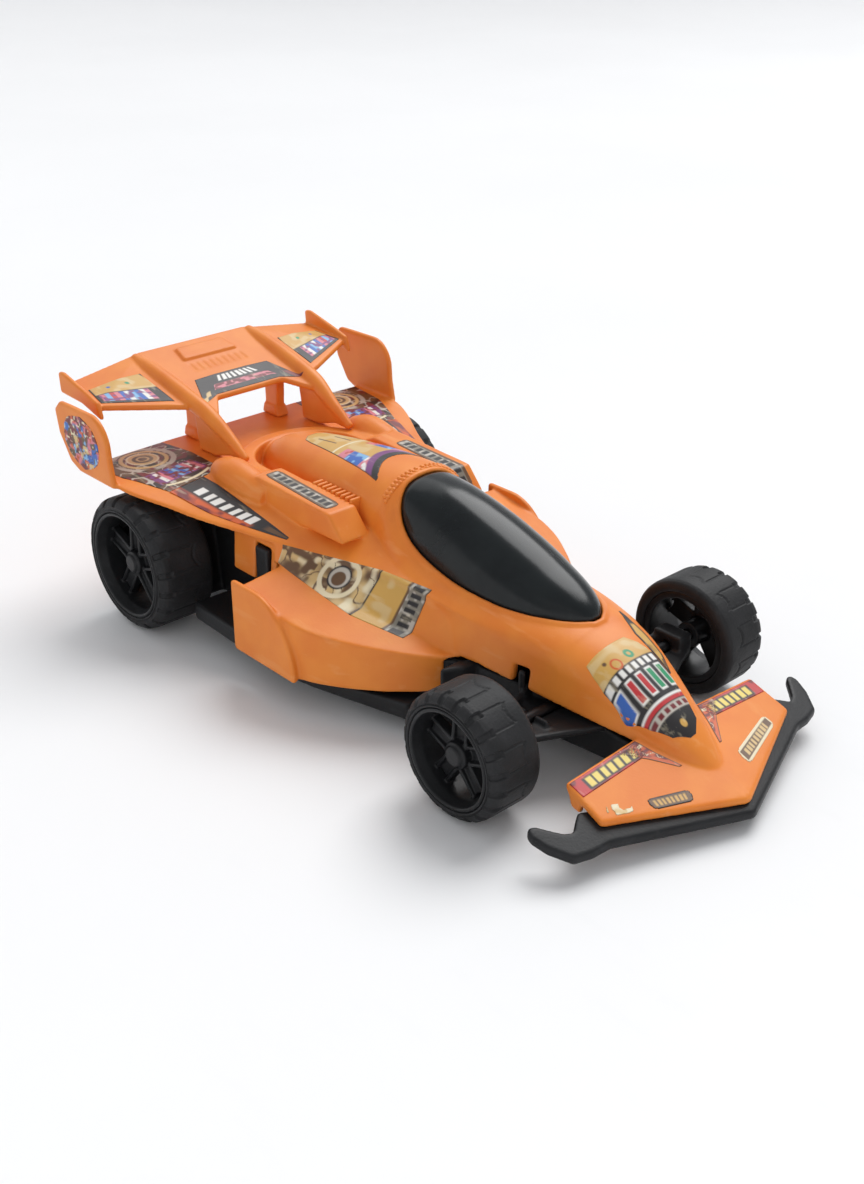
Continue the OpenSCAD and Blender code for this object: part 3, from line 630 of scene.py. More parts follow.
@dataclass(frozen=True)
class BodyMoulding:
    """The orange body: nose, front wing, sidepods, flared deck, vent boxes and endplates in one moulding."""

    spine: Spine = Spine()
    canopy: Canopy = Canopy()
    wall: float = 1.6
    deck_t: float = 2.0
    edge_x: Curve = Curve((
        (-46, 17.2), (-36, 19), (-26, 20.2), (-7, 22.8), (8, 26.5), (21, 31.3), (44, 40), (53, 43.8),
        (76, 52.4), (93.6, 52.4),
    ))
    edge_z: Curve = Curve((
        (-46, 30.5), (-36, 32), (-26, 33.6), (-7, 35.7), (8, 36), (21, 36.6), (44, 38.4), (53, 39.6),
        (60, 41.2), (68, 42.6), (76, 43.6), (93.6, 43.8),
    ))
    deck_w: Curve = Curve(((-46, 12), (-20, 14), (0, 15), (20, 17.5), (40, 20), (60, 24), (93.6, 24)))
    deck_z: Curve = Curve((
        (-46, 31), (-20, 35), (-7, 38.5), (4, 41), (20, 42.6), (44, 44.2), (60, 44.6), (93.6, 44.4),
    ))
    flank_x: Curve = Curve((
        (-36, 18.4), (-26, 19.6), (-7, 22.2), (8, 25.9), (21, 30.7), (27, 33), (46, 33.6),
    ))
    foot_x: Curve = Curve((
        (-36, 19.6), (-30, 21.6), (-20, 25.4), (-10, 28.6), (0, 31), (10, 33), (22, 34.4), (27, 34.6),
        (46, 34.6),
    ))
    foot_z: Curve = Curve((
        (-36, 21.2), (-30, 21.8), (-20, 24.6), (-10, 26.8), (0, 28.4), (10, 29.8), (22, 31), (46, 31),
    ))
    pod_x: Curve = Curve((
        (-33, 20.6), (-31, 24), (-28, 28.2), (-22, 34.2), (-14, 40), (-3, 45.8), (4, 47.6), (24, 48.4),
    ))
    pod_z: Curve = Curve(((-33, 21.4), (-22, 23.2), (-10, 24.6), (0, 25.8), (10, 27.4), (24, 29.6)))
    pod_low_z: Curve = Curve(((-33, 11.6), (0, 10.2), (24, 10)))

    def deck(self) -> Skin:
        """Flared plate: level beside the engine cover, then sloping out to a thin edge."""
        y = np.linspace(-46, 93.6, 90)
        xe, ze, xi, zi = self.edge_x(y), self.edge_z(y), self.deck_w(y), self.deck_z(y)
        t = self.deck_t
        x = np.stack([-xe, -xe, -xi, xi, xe, xe, xi, -xi], -1)
        z = np.stack([ze - 1.2, ze, zi, zi, ze, ze - 1.2, zi - t, zi - t], -1)
        return loft(np.stack([x, np.broadcast_to(y[:, None], x.shape), z], -1))

    def flank(self, y0: float, y1: float, low: float) -> Skin:
        """Side wall under the deck's edge, its foot low below the sidepod's top."""
        y = np.linspace(y0, y1, 40)
        xt, zt, xf, zf = self.flank_x(y), self.edge_z(y) - 0.7, self.foot_x(y), self.foot_z(y) - low
        x = np.stack([xt - self.wall, xt, xf, xf - self.wall], -1)
        z = np.stack([zt - 0.4, zt, zf, zf], -1)
        return loft(np.stack([x, np.broadcast_to(y[:, None], x.shape), z], -1))

    def pod(self, y0: float, y1: float, inset: float, deep: float) -> Skin:
        """Wedge of a sidepod: sloping top, curved outer wall."""
        y = np.linspace(y0, y1, 60)
        xf, zf, xo, zo, zl = self.foot_x(y), self.foot_z(y), self.pod_x(y), self.pod_z(y), self.pod_low_z(y)
        t = inset
        x = np.stack([xf - 3 - t, xf - 3 - t, xf, xo - t, xo - t], -1)
        z = np.stack([zl - deep, zf + 1 - t, zf - t, zo - t, zl - deep], -1)
        return loft(np.stack([x, np.broadcast_to(y[:, None], x.shape), z], -1))

    def pod_fin(self) -> Skin:
        """Quarter-round plate at the rear of a sidepod."""
        a = np.radians(np.arange(6, 91, 6))
        arc = [(17 - 17 * c, 10 + 20.8 * s) for c, s in zip(np.cos(a), np.sin(a), strict=True)]
        return side_prism([(26.4, 9.8), (0, 9.8), *arc, (26.4, 30.8)], 47.4, 49.2)

    def endplate(self) -> Skin:
        """Upright plate at an outer rear corner of the deck, its top front corner rounded."""
        a = np.radians(np.arange(170, 89, -8))
        arc = [(85 + 8.4 * c, 53 + 9.4 * s) for c, s in zip(np.cos(a), np.sin(a), strict=True)]
        rest = [(94, 62.2), (101.6, 62), (104.6, 59), (103.4, 52), (98.4, 44.4), (93.6, 42.4)]
        return side_prism([(75, 42.4), (76.5, 50), *arc, *rest], 51.6, 53.4)

    def front_wing(self) -> list[Skin]:
        """One half of the V-shaped front wing with its end skirt."""
        outline = [(0, -110.4), (0, -86), (9, -83.5), (34.8, -83.1), (35.6, -95.2)]
        plate = sloped_plate(outline, front_plane, self.deck_t)
        skirt = side_prism(
            [(-83.5, 14.2), (-95.2, 10), (-95.2, 8.7), (-88.3, 11.2), (-88.2, 8.4), (-85.2, 9.2)], 33.4, 35
        )
        return [plate, skirt]

    def vent_box(self) -> list[Skin]:
        """Box with a sloped front face that runs back beside the engine cover into a round shoulder."""
        box = side_prism([(6, 40.4), (12.4, 47.6), (44, 48.8), (50, 46), (50, 40)], 16.4, 26.2)
        outer = [(24.6, 40, 43), (25, 47, 44), (25.2, 56, 45), (25.2, 63.4, 44.6)]
        shoulder = tube(outer, [3.6, 4.8, 5.2, 3.4])
        inner = tube([(20.4, 40, 43), (20.6, 48, 43.4), (20.4, 60, 43)], [3.2, 3.8, 3.2])
        return [box, shoulder, inner]

    def horseshoe(self, radius: float, y0: float, z0: float, z1: float) -> Skin:
        """A slab with straight sides and a round rear end, about the engine cover."""
        a = np.radians(np.arange(0, 181, 6))
        arc = [(radius * c, 52 + radius * 0.95 * s) for c, s in zip(np.cos(a), np.sin(a), strict=True)]
        return plan_prism([(radius, y0), *arc, (-radius, y0)], z0, z1)

    def louvre(self, side: Side) -> None:
        """Comb of cross ribs between the engine cover and a vent box."""
        mould = Moulding((-19, 12, 41), (19, 33, 50), 0.22)
        for y in 13.4 + 2.0 * np.arange(9):
            rib = side_prism([(y, 42), (y, 48.6), (y + 1.0, 48.8), (y + 1.0, 42)], 13.4, 17.2)
            mould.add(rib if side is Side.LEFT else rib.mirrored())
        mould.soften(2)
        dress(mould.build(f"louvre_comb_{side.name.lower()}", 20000), Slot.ORANGE, "car")

    def collar(self) -> None:
        """Two rows of knurls behind the canopy: beads set at even steps along the cover's arc."""
        sp = self.spine
        mould = Moulding((-17, 2, 38), (17, 8, 58), 0.2)
        for row, y in enumerate((4.0, 5.2)):
            for turn in np.radians(np.arange(38 + 2.6 * row, 143, 5.2)):
                c = math.cos(turn)
                place = np.array([y - 0.55, y + 0.55])
                x = sp.shoulder_w(place) * np.sign(c) * abs(c) ** sp.roundness
                rise = sp.crest(place) - sp.shoulder_z(place)
                z = sp.shoulder_z(place) + rise * math.sin(turn) ** sp.roundness
                mould.add(tube(np.stack([x, place, z], -1), [0.62, 0.62], 10, 5))
        mould.soften(1)
        dress(mould.build("collar_knurls", 24000), Slot.ORANGE, "car")

    def cavity(self) -> list[Skin]:
        """What the hollow underside takes away: the cockpit, the sidepods and the room for the chassis."""
        tub = [(8.9, -40), (17.4, -45.6), (19.8, -36), (24.2, -29.6), (27.3, -24.8), (27.3, 54), (-27.3, 54),
               (-27.3, -24.8), (-24.2, -29.6), (-19.8, -36), (-17.4, -45.6), (-8.9, -40)]
        post = side_prism([(-54, 10), (-54, 25), (-49.6, 25), (-49.6, 10)], 13, 22)
        clip = side_prism([(28.9, 15), (28.9, 33.8), (35.5, 33.8), (35.5, 15)], 30, 38)
        block = plan_prism([(12, -40), (30, -40), (30, -33.2), (21, -33.2), (12, -36)], 7, 21.4)
        return [
            self.spine.skin(-97, 71, self.wall, 20), plan_prism(tub, 2, 20.8),
            side_prism([(-28, 18), (-28, 34), (42, 34), (42, 18)], -15, 15),
            *both(self.pod(-28, 25.4, self.wall, 6), clip, post, block),
        ]

    def build(self) -> None:
        """Joins the forms, sinks the recess round the engine cover, hollows the underside."""
        mould = Moulding((-54.5, -112, 5), (54.5, 106, 64), 0.4)
        mould.add(self.deck(), *both(*self.front_wing(), *self.vent_box(), self.endplate()))
        mould.add(*both(self.flank(-34, 27, 0), self.flank(26, 45.6, 8.4)))
        mould.add(*both(self.pod(-33, 24, 0, 0), self.pod_fin()))
        mould.add(self.horseshoe(21.4, 38, 39.2, 46.6))
        mould.cut(self.horseshoe(16.8, 33, 40.6, 50))
        skirt = side_prism([(58, 43), (58, 33), (70, 31), (93.2, 28.4), (93.2, 43)], 27.8, 29.4)
        mould.add(*both(skirt), side_prism([(91.7, 28.8), (93.1, 28.8), (93.1, 43), (91.7, 43)], -28.6, 28.6))
        form = self.spine.skin(self.spine.y0, self.spine.y1)
        dome = self.canopy.skin(self.canopy.y0 - 0.3, self.canopy.y1 + 0.2, inset=-0.12, deep=9)
        mould.add(form)
        mould.cut(*self.cavity())
        mould.add(self.horseshoe(17.4, 30, 39.2, 41.0))
        mould.add_lip(dome, form, 1.4, 0.8)
        mould.cut(self.canopy.skin(-58.6, 1.6, inset=0.9, deep=18))
        mould.cut(dome)
        mould.soften(2)
        dress(mould.build("body_moulding", 196000), Slot.ORANGE, "car", "body_shell")
        for side in Side:
            self.louvre(side)
        self.collar()


@dataclass(frozen=True)
class RearWing:
    """The rear wing: centre plane, outer panels, ridges that run down into the struts, fins and posts."""

    thick: float = 1.8
    slot_r: float = 0.5

    def outer_plane(self, x: Array, y: Array) -> Array:
        """Top of the outer panels: it falls away towards the fins."""
        inner = rear_plane(y)
        share = np.clip((x - 19) / 26.6, 0, 1)
        return inner * (1 - share) + (61.4 + 0.06 * (y - 92)) * share - 0.2

    def half(self) -> list[Skin]:
        """The pieces of one side."""
        outline = [(19, 112), (45.8, 112), (45.8, 92), (27, 82), (19, 79)]
        panel = sloped_plate(outline, self.outer_plane, self.thick)
        fin = side_prism(
            [(89.6, 57.4), (91.4, 62.4), (98, 64.2), (110, 67), (112.2, 66.6), (111.8, 60.4), (100, 60)],
            45.4, 46.9,
        )
        ridge = tube(
            [(21.2, 111.2, 65.6), (21.1, 104, 64.3), (21, 96, 62.6), (20.8, 86, 60.2), (20.4, 76, 57.6),
             (19.6, 66, 52.4), (19.4, 57.6, 47.4)],
            [1.5, 2.3, 2.6, 2.7, 2.6, 1.9, 1.2],
        )
        strut = side_prism(
            [(57, 47), (66, 52.6), (76.5, 58.4), (84, 59.6), (81.4, 55), (80.4, 49), (79.8, 44.7),
             (72, 44.8), (64, 47.2)],
            18.2, 20.8,
        )
        post = side_prism([(86.4, 44.5), (85.4, 60), (92.6, 61.4), (92.6, 44.5)], 13.4, 16.4)
        foot = side_prism([(84.8, 44.5), (86.6, 48), (92.4, 48), (93.4, 44.5)], 12.6, 17.2)
        return [panel, fin, ridge, strut, post, foot]

    def build(self) -> None:
        """Joins the pieces, cuts the slots and rounds the edges."""
        mould = Moulding((-47, 56, 44), (47, 112.4, 67.6), 0.33)
        centre = [(-20, 112), (20, 112), (20, 73), (17, 73.6), (12, 81), (-12, 81), (-17, 73.6), (-20, 73)]
        mould.add(sloped_plate(centre, lambda x, y: rear_plane(y), self.thick), *both(*self.half()))
        raised = [(-8.6, 108), (8.6, 108), (9.8, 101.2), (-9.8, 101.2)]
        mould.add(sloped_plate(raised, lambda x, y: rear_plane(y) + 0.9, 1.4))
        front, rear = 95.4, 99.6
        for x in 2.3 * np.arange(-4, 5):
            ends = [(x, y, rear_plane(y) + 0.1) for y in (front, rear)]
            mould.cut(tube(ends, [self.slot_r, self.slot_r], 10, 6))
        mould.soften(2)
        dress(mould.build("rear_wing_moulding", 120000), Slot.ORANGE, "car", "rear_wing")


@dataclass(frozen=True)
class FrontBumper:
    """The black blade under the front wing, with elbows and hooked ends."""

    outline: Knots = (
        (0, -112.2), (0, -103), (30, -91.5), (36.6, -88.8), (39.2, -90.4), (41.2, -91.8), (43.2, -91),
        (45.4, -88.6), (47.6, -86), (49.0, -85.4), (50.2, -86), (50.6, -87.6), (49.4, -91.6), (46, -96.8),
        (41, -98.2), (36, -98.6),
    )

    def build(self) -> None:
        """One rounded blade that follows the wing's plane."""
        mould = Moulding((-52, -112.6, 1), (52, -84, 20), 0.33)
        blade = sloped_plate(self.outline, lambda x, y: front_plane(x, y) - 2.1, 2.6)
        mould.add(*both(blade))
        mould.soften(3)
        dress(mould.build("front_bumper_blade", 60000), Slot.BLACK, "car", "front_bumper")


@dataclass(frozen=True)
class Chassis:
    """The black tray: the CAD node's own form with its edges rounded."""

    pitch: float = 0.42

    def build(self, node: bpy.types.Object) -> None:
        """Rounds a merged copy of the CAD mesh."""
        mesh = node.data
        points = np.empty(len(mesh.vertices) * 3, np.float32)
        mesh.vertices.foreach_get("co", points)
        mesh.calc_loop_triangles()
        corners = np.empty(len(mesh.loop_triangles) * 3, np.int32)
        mesh.loop_triangles.foreach_get("vertices", corners)
        points = points.reshape(-1, 3) / MM
        key = np.round(points / 1e-4).astype(np.int64)
        _, first, back = np.unique(key, axis=0, return_index=True, return_inverse=True)
        triangles = back.reshape(-1)[corners].reshape(-1, 3)
        a, b, c = triangles.T
        triangles = triangles[(a != b) & (b != c) & (a != c)]
        skin = Skin(points[first], triangles)
        mould = Moulding(skin.points.min(0), skin.points.max(0), self.pitch)
        mould.add(skin)
        mould.soften(2)
        dress(mould.build("chassis_moulding", 180000), Slot.BLACK, "car", "chassis")


# ---------- wheels ----------


@dataclass(frozen=True)
class Wheel:
    """A pair of wheels: the rim with five twin spokes, and the tyre with its tread."""

    name: str
    body: str
    tyre_r: float
    tyre_w: float
    rim_r: float
    inner_x: float
    axle_y: float
    notches: int = 20
    notch_half: float = 0.85
    notch_depth: float = 0.7
    groove_depth: float = 0.24
    spokes: int = 5
    spoke_x: float = 2.1
    bar_half: float = 0.75
    hub_r: float = 3.6
    bore_r: float = 1.55
    around: int = 720

    def rim_skin(self) -> Moulding:
        """The rim drawn from x = 0 outwards about the X axis."""
        r, w = self.rim_r, self.tyre_w
        face = w - 4.4
        mould = Moulding((-0.5, -r - 1, -r - 1), (w + 0.5, r + 1, r + 1), 0.26)
        mould.add(revolve([
            (0.6, r - 2), (0.6, r), (w - 0.6, r), (w + 0.0, r - 0.3), (w - 0.1, r - 1.1), (w - 0.9, r - 1.3),
            (w - 3, r - 2),
        ]))
        for k in range(self.spokes):
            angle = 2 * math.pi * k / self.spokes
            web = np.array([(face - 2.6, -2.4), (face - 2.6, 2.4), (face - 0.9, 2.4), (face - 0.9, -2.4)])
            ends = [np.insert(web, 2, z, axis=1) for z in (1.5, r - 2.6)]
            mould.add(loft(np.stack(ends)).turned(angle))
            for side in (-1, 1):
                y0, y1 = side * self.spoke_x - self.bar_half, side * self.spoke_x + self.bar_half
                bar = np.array([
                    [(face - 2.4, y0), (face - 2.4, y1), (face + 0.5, y1 - 0.25), (face + 0.5, y0 + 0.25)],
                    [(face - 2.6, y0), (face - 2.6, y1), (face - 0.2, y1 - 0.25), (face - 0.2, y0 + 0.25)],
                ])
                z = np.array([1.5, r - 1.2])[:, None]
                rings = np.stack([bar[..., 0], bar[..., 1], np.broadcast_to(z, bar.shape[:2])], -1)
                mould.add(loft(rings).turned(angle))
        h = self.hub_r
        mould.add(revolve([
            (3, 0), (3, h), (face + 1.2, h), (face + 1.5, h - 0.4), (face + 1.5, h - 0.9),
            (face + 2.1, h - 1.0), (face + 2.3, h - 1.4), (face + 2.3, 0),
        ]))
        mould.cut(revolve([(-1, 0), (-1, self.bore_r), (face, self.bore_r), (face, 0)]))
        mould.soften(1)
        return mould

    def tread(self, x: Array, angle: Array) -> Array:
        """Depth cut into the tyre at a place: shoulder notches and shallow U-shaped grooves.

        Args:
            x: Distance from the tyre's inner side.
            angle: Angle round the tyre in radians.

        Returns:
            Depths in millimetres.
        """
        w, r = self.tyre_w, self.tyre_r
        step = 2 * math.pi / self.notches
        arc = (np.mod(angle, step) / step - 0.5) * step * r
        notch = edge(np.abs(arc), self.notch_half, 0.3) * (1 - edge(x, w - 4.0, 0.5)) * self.notch_depth
        wide = 2 * step
        turn = (np.mod(angle, wide) / wide - 0.5) * wide * r
        reach = w * 0.30 - 0.9 * (np.abs(turn) / (wide * r / 2)) ** 2 * w * 0.32
        legs = edge(np.abs(np.abs(turn) - wide * r * 0.27), 0.28, 0.22) * (1 - edge(x, w * 0.34, 0.6))
        bow = edge(np.abs(x - reach - w * 0.06), 0.30, 0.25) * edge(np.abs(turn), wide * r * 0.27, 0.3)
        groove = np.maximum(legs * edge(x, w - 3.2, 0.4), bow) * self.groove_depth
        return np.maximum(notch, groove)

    def tyre_grid(self) -> tuple[Array, Array]:
        """Surface of revolution whose outer wall is pressed in by the tread's depth.

        Returns:
            Points and quads of the closed surface.
        """
        r, w, q = self.tyre_r, self.tyre_w, self.rim_r
        profile = np.array([
            (0.4, q), (0.1, q + 0.4), (0.01, q + 1.0), (0.01, r - 1.9), (0.15, r - 1.2), (0.6, r - 0.5),
            (1.4, r - 0.08), (2.2, r), (w - 3.2, r), (w - 2.0, r - 0.2), (w - 1.1, r - 0.8),
            (w - 0.4, r - 1.6), (w - 0.1, r - 2.2), (w - 0.4, r - 2.4), (w - 0.4, q + 0.75),
            (w - 0.05, q + 0.6), (w - 0.02, q + 0.3), (w - 0.4, q),
        ])
        span = np.linalg.norm(np.diff(profile, axis=0), axis=1)
        count = np.maximum(1, np.ceil(span / 0.36)).astype(int)
        share = np.concatenate([np.arange(n) / n + i for i, n in enumerate(count)] + [[len(count)]])
        x = np.interp(share, np.arange(len(profile)), profile[:, 0])
        rad = np.interp(share, np.arange(len(profile)), profile[:, 1])
        a = np.linspace(0, 2 * np.pi, self.around, endpoint=False)
        outer = np.clip((rad - (r - 2.1)) / 0.5, 0, 1)
        deep = self.tread(x[None], a[:, None]) * outer[None]
        rr = rad[None] - deep
        y, z = np.cos(a)[:, None] * rr, np.sin(a)[:, None] * rr
        points = np.stack([np.broadcast_to(x, rr.shape), y, z], -1)
        n, m = rr.shape
        i, j = np.meshgrid(np.arange(n), np.arange(m), indexing="ij")
        quads = np.stack([
            i * m + j, i * m + (j + 1) % m, ((i + 1) % n) * m + (j + 1) % m, ((i + 1) % n) * m + j,
        ], -1).reshape(-1, 4)
        return points.reshape(-1, 3), quads

    def build(self) -> None:
        """Both wheels of the axle."""
        place = np.array([self.inner_x, self.axle_y, self.tyre_r])
        points, quads = self.tyre_grid()
        rim = self.rim_skin().build(f"{self.name}_rim", 60000)
        rim_points = np.empty(len(rim.data.vertices) * 3, np.float32)
        rim.data.vertices.foreach_get("co", rim_points)
        rim_points = rim_points.reshape(-1, 3) / MM
        rim.data.calc_loop_triangles()
        rim_faces = np.empty(len(rim.data.loop_triangles) * 3, np.int32)
        rim.data.loop_triangles.foreach_get("vertices", rim_faces)
        rim_faces = rim_faces.reshape(-1, 3)
        bpy.data.objects.remove(rim)
        for side in Side:
            flip = np.array([side.value, 1, 1])
            turn = -1 if side is Side.RIGHT else 1
            word = side.name.lower()
            tyre = mesh_object(f"{self.name}_tyre_{word}_tread", (points + place) * flip, quads[:, ::turn])
            dress(tyre, Slot.TYRE, self.body, f"{self.name}_tyre_{word}")
            name = f"{self.name}_rim_{word}_cast"
            cast = mesh_object(name, (rim_points + place) * flip, rim_faces[:, ::turn])
            dress(cast, Slot.RIM, self.body, f"{self.name}_rim_{word}")


def edge(value: Array, limit: float, soft: float) -> Array:
    """One below the limit and zero above it, with a smooth step of the given softness."""
    t = np.clip((limit + soft / 2 - value) / soft, 0, 1)
    return t * t * (3 - 2 * t)


# ---------- printed labels ----------


class Ink(Enum):
    """Printing colours."""

    GOLD = (0.62, 0.36, 0.085)
    SAND = (0.66, 0.46, 0.20)
    CREAM = (0.78, 0.68, 0.46)
    WHITE = (0.80, 0.78, 0.74)
    BLACK = (0.016, 0.013, 0.014)
    BROWN = (0.13, 0.065, 0.028)
    GREY = (0.22, 0.20, 0.16)
    SILVER = (0.50, 0.46, 0.40)
    RED = (0.52, 0.025, 0.03)
    MAROON = (0.17, 0.015, 0.02)
    PINK = (0.66, 0.19, 0.24)
    PURPLE = (0.19, 0.045, 0.19)
    BLUE = (0.025, 0.12, 0.47)
    SKY = (0.20, 0.44, 0.72)
    GREEN = (0.02, 0.28, 0.12)
    YELLOW = (0.80, 0.62, 0.13)
    EMBER = (0.62, 0.10, 0.015)


class Artwork:
    """Colours laid over one another on a label, at millimetres a along it and b across it."""

    def __init__(self, a: Array, b: Array, length: float, width: Array, seed: int) -> None:
        """Starts blank.

        Args:
            a: Distance along the label.
            b: Distance across it from its middle line.
            length: The label's length.
            width: Its half width beside each point.
            seed: Seed of its cloudy parts.
        """
        self.a, self.b, self.length, self.half = a, b, length, width
        self.seed = seed
        self.colour = np.ones((*a.shape, 3))
        self.kept = np.ones(a.shape)

    def lay(self, mask: Array | float, ink: Ink) -> None:
        """Lays an ink where the mask is one."""
        m = np.broadcast_to(np.asarray(mask, float), self.a.shape)[..., None]
        self.colour = self.colour * (1 - m) + np.array(ink.value) * m

    def trim(self, corner: float) -> None:
        """Rounds the corners: keeps what lies within the corner radius of the label drawn in by it."""
        out_a = np.maximum(corner - self.a, self.a - (self.length - corner))
        out_b = np.abs(self.b) - (self.half - corner)
        self.kept = self.kept * (np.hypot(np.maximum(out_a, 0), np.maximum(out_b, 0)) <= corner)

    def strip(self, a0: float, a1: float, b0: float = -99, b1: float = 99) -> Array:
        """Mask of a rectangle."""
        inside_a = edge(a0 - self.a, 0, 0.3) * edge(self.a - a1, 0, 0.3)
        return inside_a * edge(b0 - self.b, 0, 0.3) * edge(self.b - b1, 0, 0.3)

    def disc(self, a: float, b: float, radius: float) -> Array:
        """Mask of a disc."""
        return edge(np.hypot(self.a - a, self.b - b), radius, 0.35)

    def ring(self, a: float, b: float, radius: float, width: float) -> Array:
        """Mask of a ring."""
        return edge(np.abs(np.hypot(self.a - a, self.b - b) - radius), width / 2, 0.3)

    def clouds(self, size: float, level: float = 0.5, soft: float = 0.25, shift: int = 0) -> Array:
        """Mask of cloudy patches: smooth values between seeded knots a given size apart, cut at a level."""
        rng = np.random.default_rng(self.seed + shift)
        knots = rng.random((64, 64))
        x, y = self.a / size + 7.3, self.b / size + 31.7
        i, j = np.floor(x).astype(int), np.floor(y).astype(int)
        s, t = x - i, y - j
        s, t = s * s * (3 - 2 * s), t * t * (3 - 2 * t)
        k = [knots[(i + p) % 64, (j + q) % 64] for p in (0, 1) for q in (0, 1)]
        value = (k[0] * (1 - t) + k[1] * t) * (1 - s) + (k[2] * (1 - t) + k[3] * t) * s
        return edge(level - value, 0, soft)

    def scrolls(self, size: float, width: float = 0.12, shift: int = 0) -> Array:
        """Mask of thin curling lines: where two cloudy values cross."""
        f, g = self.clouds(size, 0.5, 1.0, shift), self.clouds(size * 0.6, 0.5, 1.0, shift + 9)
        return edge(np.abs(f - g), width, 0.08)

    def blocks(self, a0: float, a1: float, b0: float, b1: float, count: int) -> Array:
        """Mask of a row of plain blocks of slightly different widths."""
        rng = np.random.default_rng(self.seed + 50)
        step = (a1 - a0) / count
        k = np.clip(np.floor((self.a - a0) / step).astype(int), 0, count - 1)
        share = (self.a - a0) / step - k
        fill = rng.uniform(0.58, 0.82, count)
        solid = edge(share, fill[k], 0.3 / step) * edge(0.08 - share, 0, 0.3 / step)
        return self.strip(a0, a1, b0, b1) * solid

    def blocks_across(self, a0: float, a1: float, count: int) -> Array:
        """Mask of a row of plain blocks set side by side across the label."""
        step = 2 * self.half.max() / count
        share = np.mod(self.b + self.half.max(), step) / step
        return self.strip(a0, a1) * edge(share, 0.72, 0.2) * edge(0.1 - share, 0, 0.2)

    def bars(
        self, a0: float, a1: float, b0: float, b1: float, inks: Sequence[Ink], along: bool = True
    ) -> None:
        """Lays bars of several inks side by side in a rectangle."""
        for n, ink in enumerate(inks):
            lo, hi = n / len(inks), (n + 1) / len(inks)
            if along:
                self.lay(self.strip(a0 + (a1 - a0) * lo, a0 + (a1 - a0) * hi, b0, b1), ink)
            else:
                self.lay(self.strip(a0, a1, b0 + (b1 - b0) * lo, b0 + (b1 - b0) * hi), ink)

    def border(self, width: float, ink: Ink) -> None:
        """Lays a border round the label."""
        reach = np.minimum(np.minimum(self.a, self.length - self.a), self.half - np.abs(self.b))
        self.lay(edge(reach, width, 0.25), ink)


def nose_art(p: Artwork) -> None:
    """Gold cap, a row of blocks, framed coloured bars, a pale band and a black tip with a small gold spot."""
    n = p.length
    p.lay(1, Ink.BLACK)
    p.lay(p.strip(-1, 0.24 * n), Ink.GOLD)
    p.lay(p.strip(-1, 0.24 * n) * p.clouds(2.2, 0.62), Ink.SAND)
    p.lay(p.ring(0.17 * n, 2.4, 0.9, 0.8), Ink.GREEN)
    p.lay(p.ring(0.19 * n, -2.6, 1.3, 0.5), Ink.EMBER)
    p.lay(p.disc(0.12 * n, -4.6, 0.5), Ink.BROWN)
    p.lay(p.blocks_across(0.255 * n, 0.325 * n, 8), Ink.WHITE)
    frames = p.blocks_across(0.35 * n, 0.585 * n, 5)
    p.lay(frames, Ink.WHITE)
    step = 2 * p.half.max() / 5
    for k, ink in enumerate((Ink.BLUE, Ink.RED, Ink.RED, Ink.GREEN, Ink.GREEN)):
        middle = (k + 0.41) * step - p.half.max()
        p.lay(p.strip(0.37 * n, 0.565 * n, middle - 0.75, middle + 0.75), ink)
    p.lay(p.strip(0.63 * n, 0.655 * n), Ink.WHITE)
    p.lay(p.strip(0.655 * n, 0.69 * n), Ink.RED)
    p.lay(p.strip(0.70 * n, 0.775 * n), Ink.SILVER)
    p.lay(p.blocks_across(0.715 * n, 0.76 * n, 8), Ink.MAROON)
    p.lay(p.disc(0.885 * n, 0, 0.9), Ink.GOLD)


def streak_art(p: Artwork) -> None:
    """Gold flame with a black edge."""
    p.lay(1, Ink.BLACK)
    p.lay(edge(np.abs(p.b), p.half - 0.55, 0.35) * edge(p.a, 0.75 * p.length, 1.0), Ink.GOLD)
    p.lay(p.clouds(1.4, 0.72) * edge(p.a, 0.4 * p.length, 1), Ink.BROWN)


def worn_art(p: Artwork) -> None:
    """Pale remains of a worn label."""
    p.lay(1, Ink.CREAM)
    p.lay(p.clouds(0.8, 0.6), Ink.SAND)
    p.trim(1.2)
    p.kept = p.kept * (p.clouds(1.5, 0.42, 0.1, 3) > 0.5)


def wing_strip_art(p: Artwork) -> None:
    """Dark red strip with a black field of yellow blocks."""
    n = p.length
    p.lay(1, Ink.MAROON)
    p.lay(p.clouds(2.0, 0.55), Ink.RED)
    p.lay(p.strip(0.06 * n, 0.86 * n, -1.7, 1.5), Ink.BLACK)
    p.lay(p.blocks(0.09 * n, 0.84 * n, -1.3, 1.2, 7), Ink.YELLOW)


def flame_art(p: Artwork) -> None:
    """Dark red streak with pale licks."""
    p.lay(1, Ink.MAROON)
    p.lay(p.clouds(1.6, 0.45), Ink.EMBER)
    p.lay(p.scrolls(2.4, 0.06), Ink.CREAM)
    p.border(0.25, Ink.BROWN)


def plate_art(p: Artwork) -> None:
    """Small dark plate with a row of gold blocks."""
    n = p.length
    p.lay(1, Ink.BROWN)
    p.lay(p.blocks(0.1 * n, 0.9 * n, -0.8, 0.8, 8), Ink.GOLD)
    p.border(0.35, Ink.BLACK)
    p.trim(1.2)


def framed_plate_art(p: Artwork) -> None:
    """The same plate with a beige frame."""
    n = p.length
    p.lay(1, Ink.CREAM)
    inner = np.minimum(np.minimum(p.a, n - p.a), p.half - np.abs(p.b))
    p.lay(edge(-inner, -0.7, 0.25), Ink.BROWN)
    p.lay(p.blocks(0.12 * n, 0.88 * n, -0.9, 0.9, 9), Ink.SAND)
    p.trim(1.6)


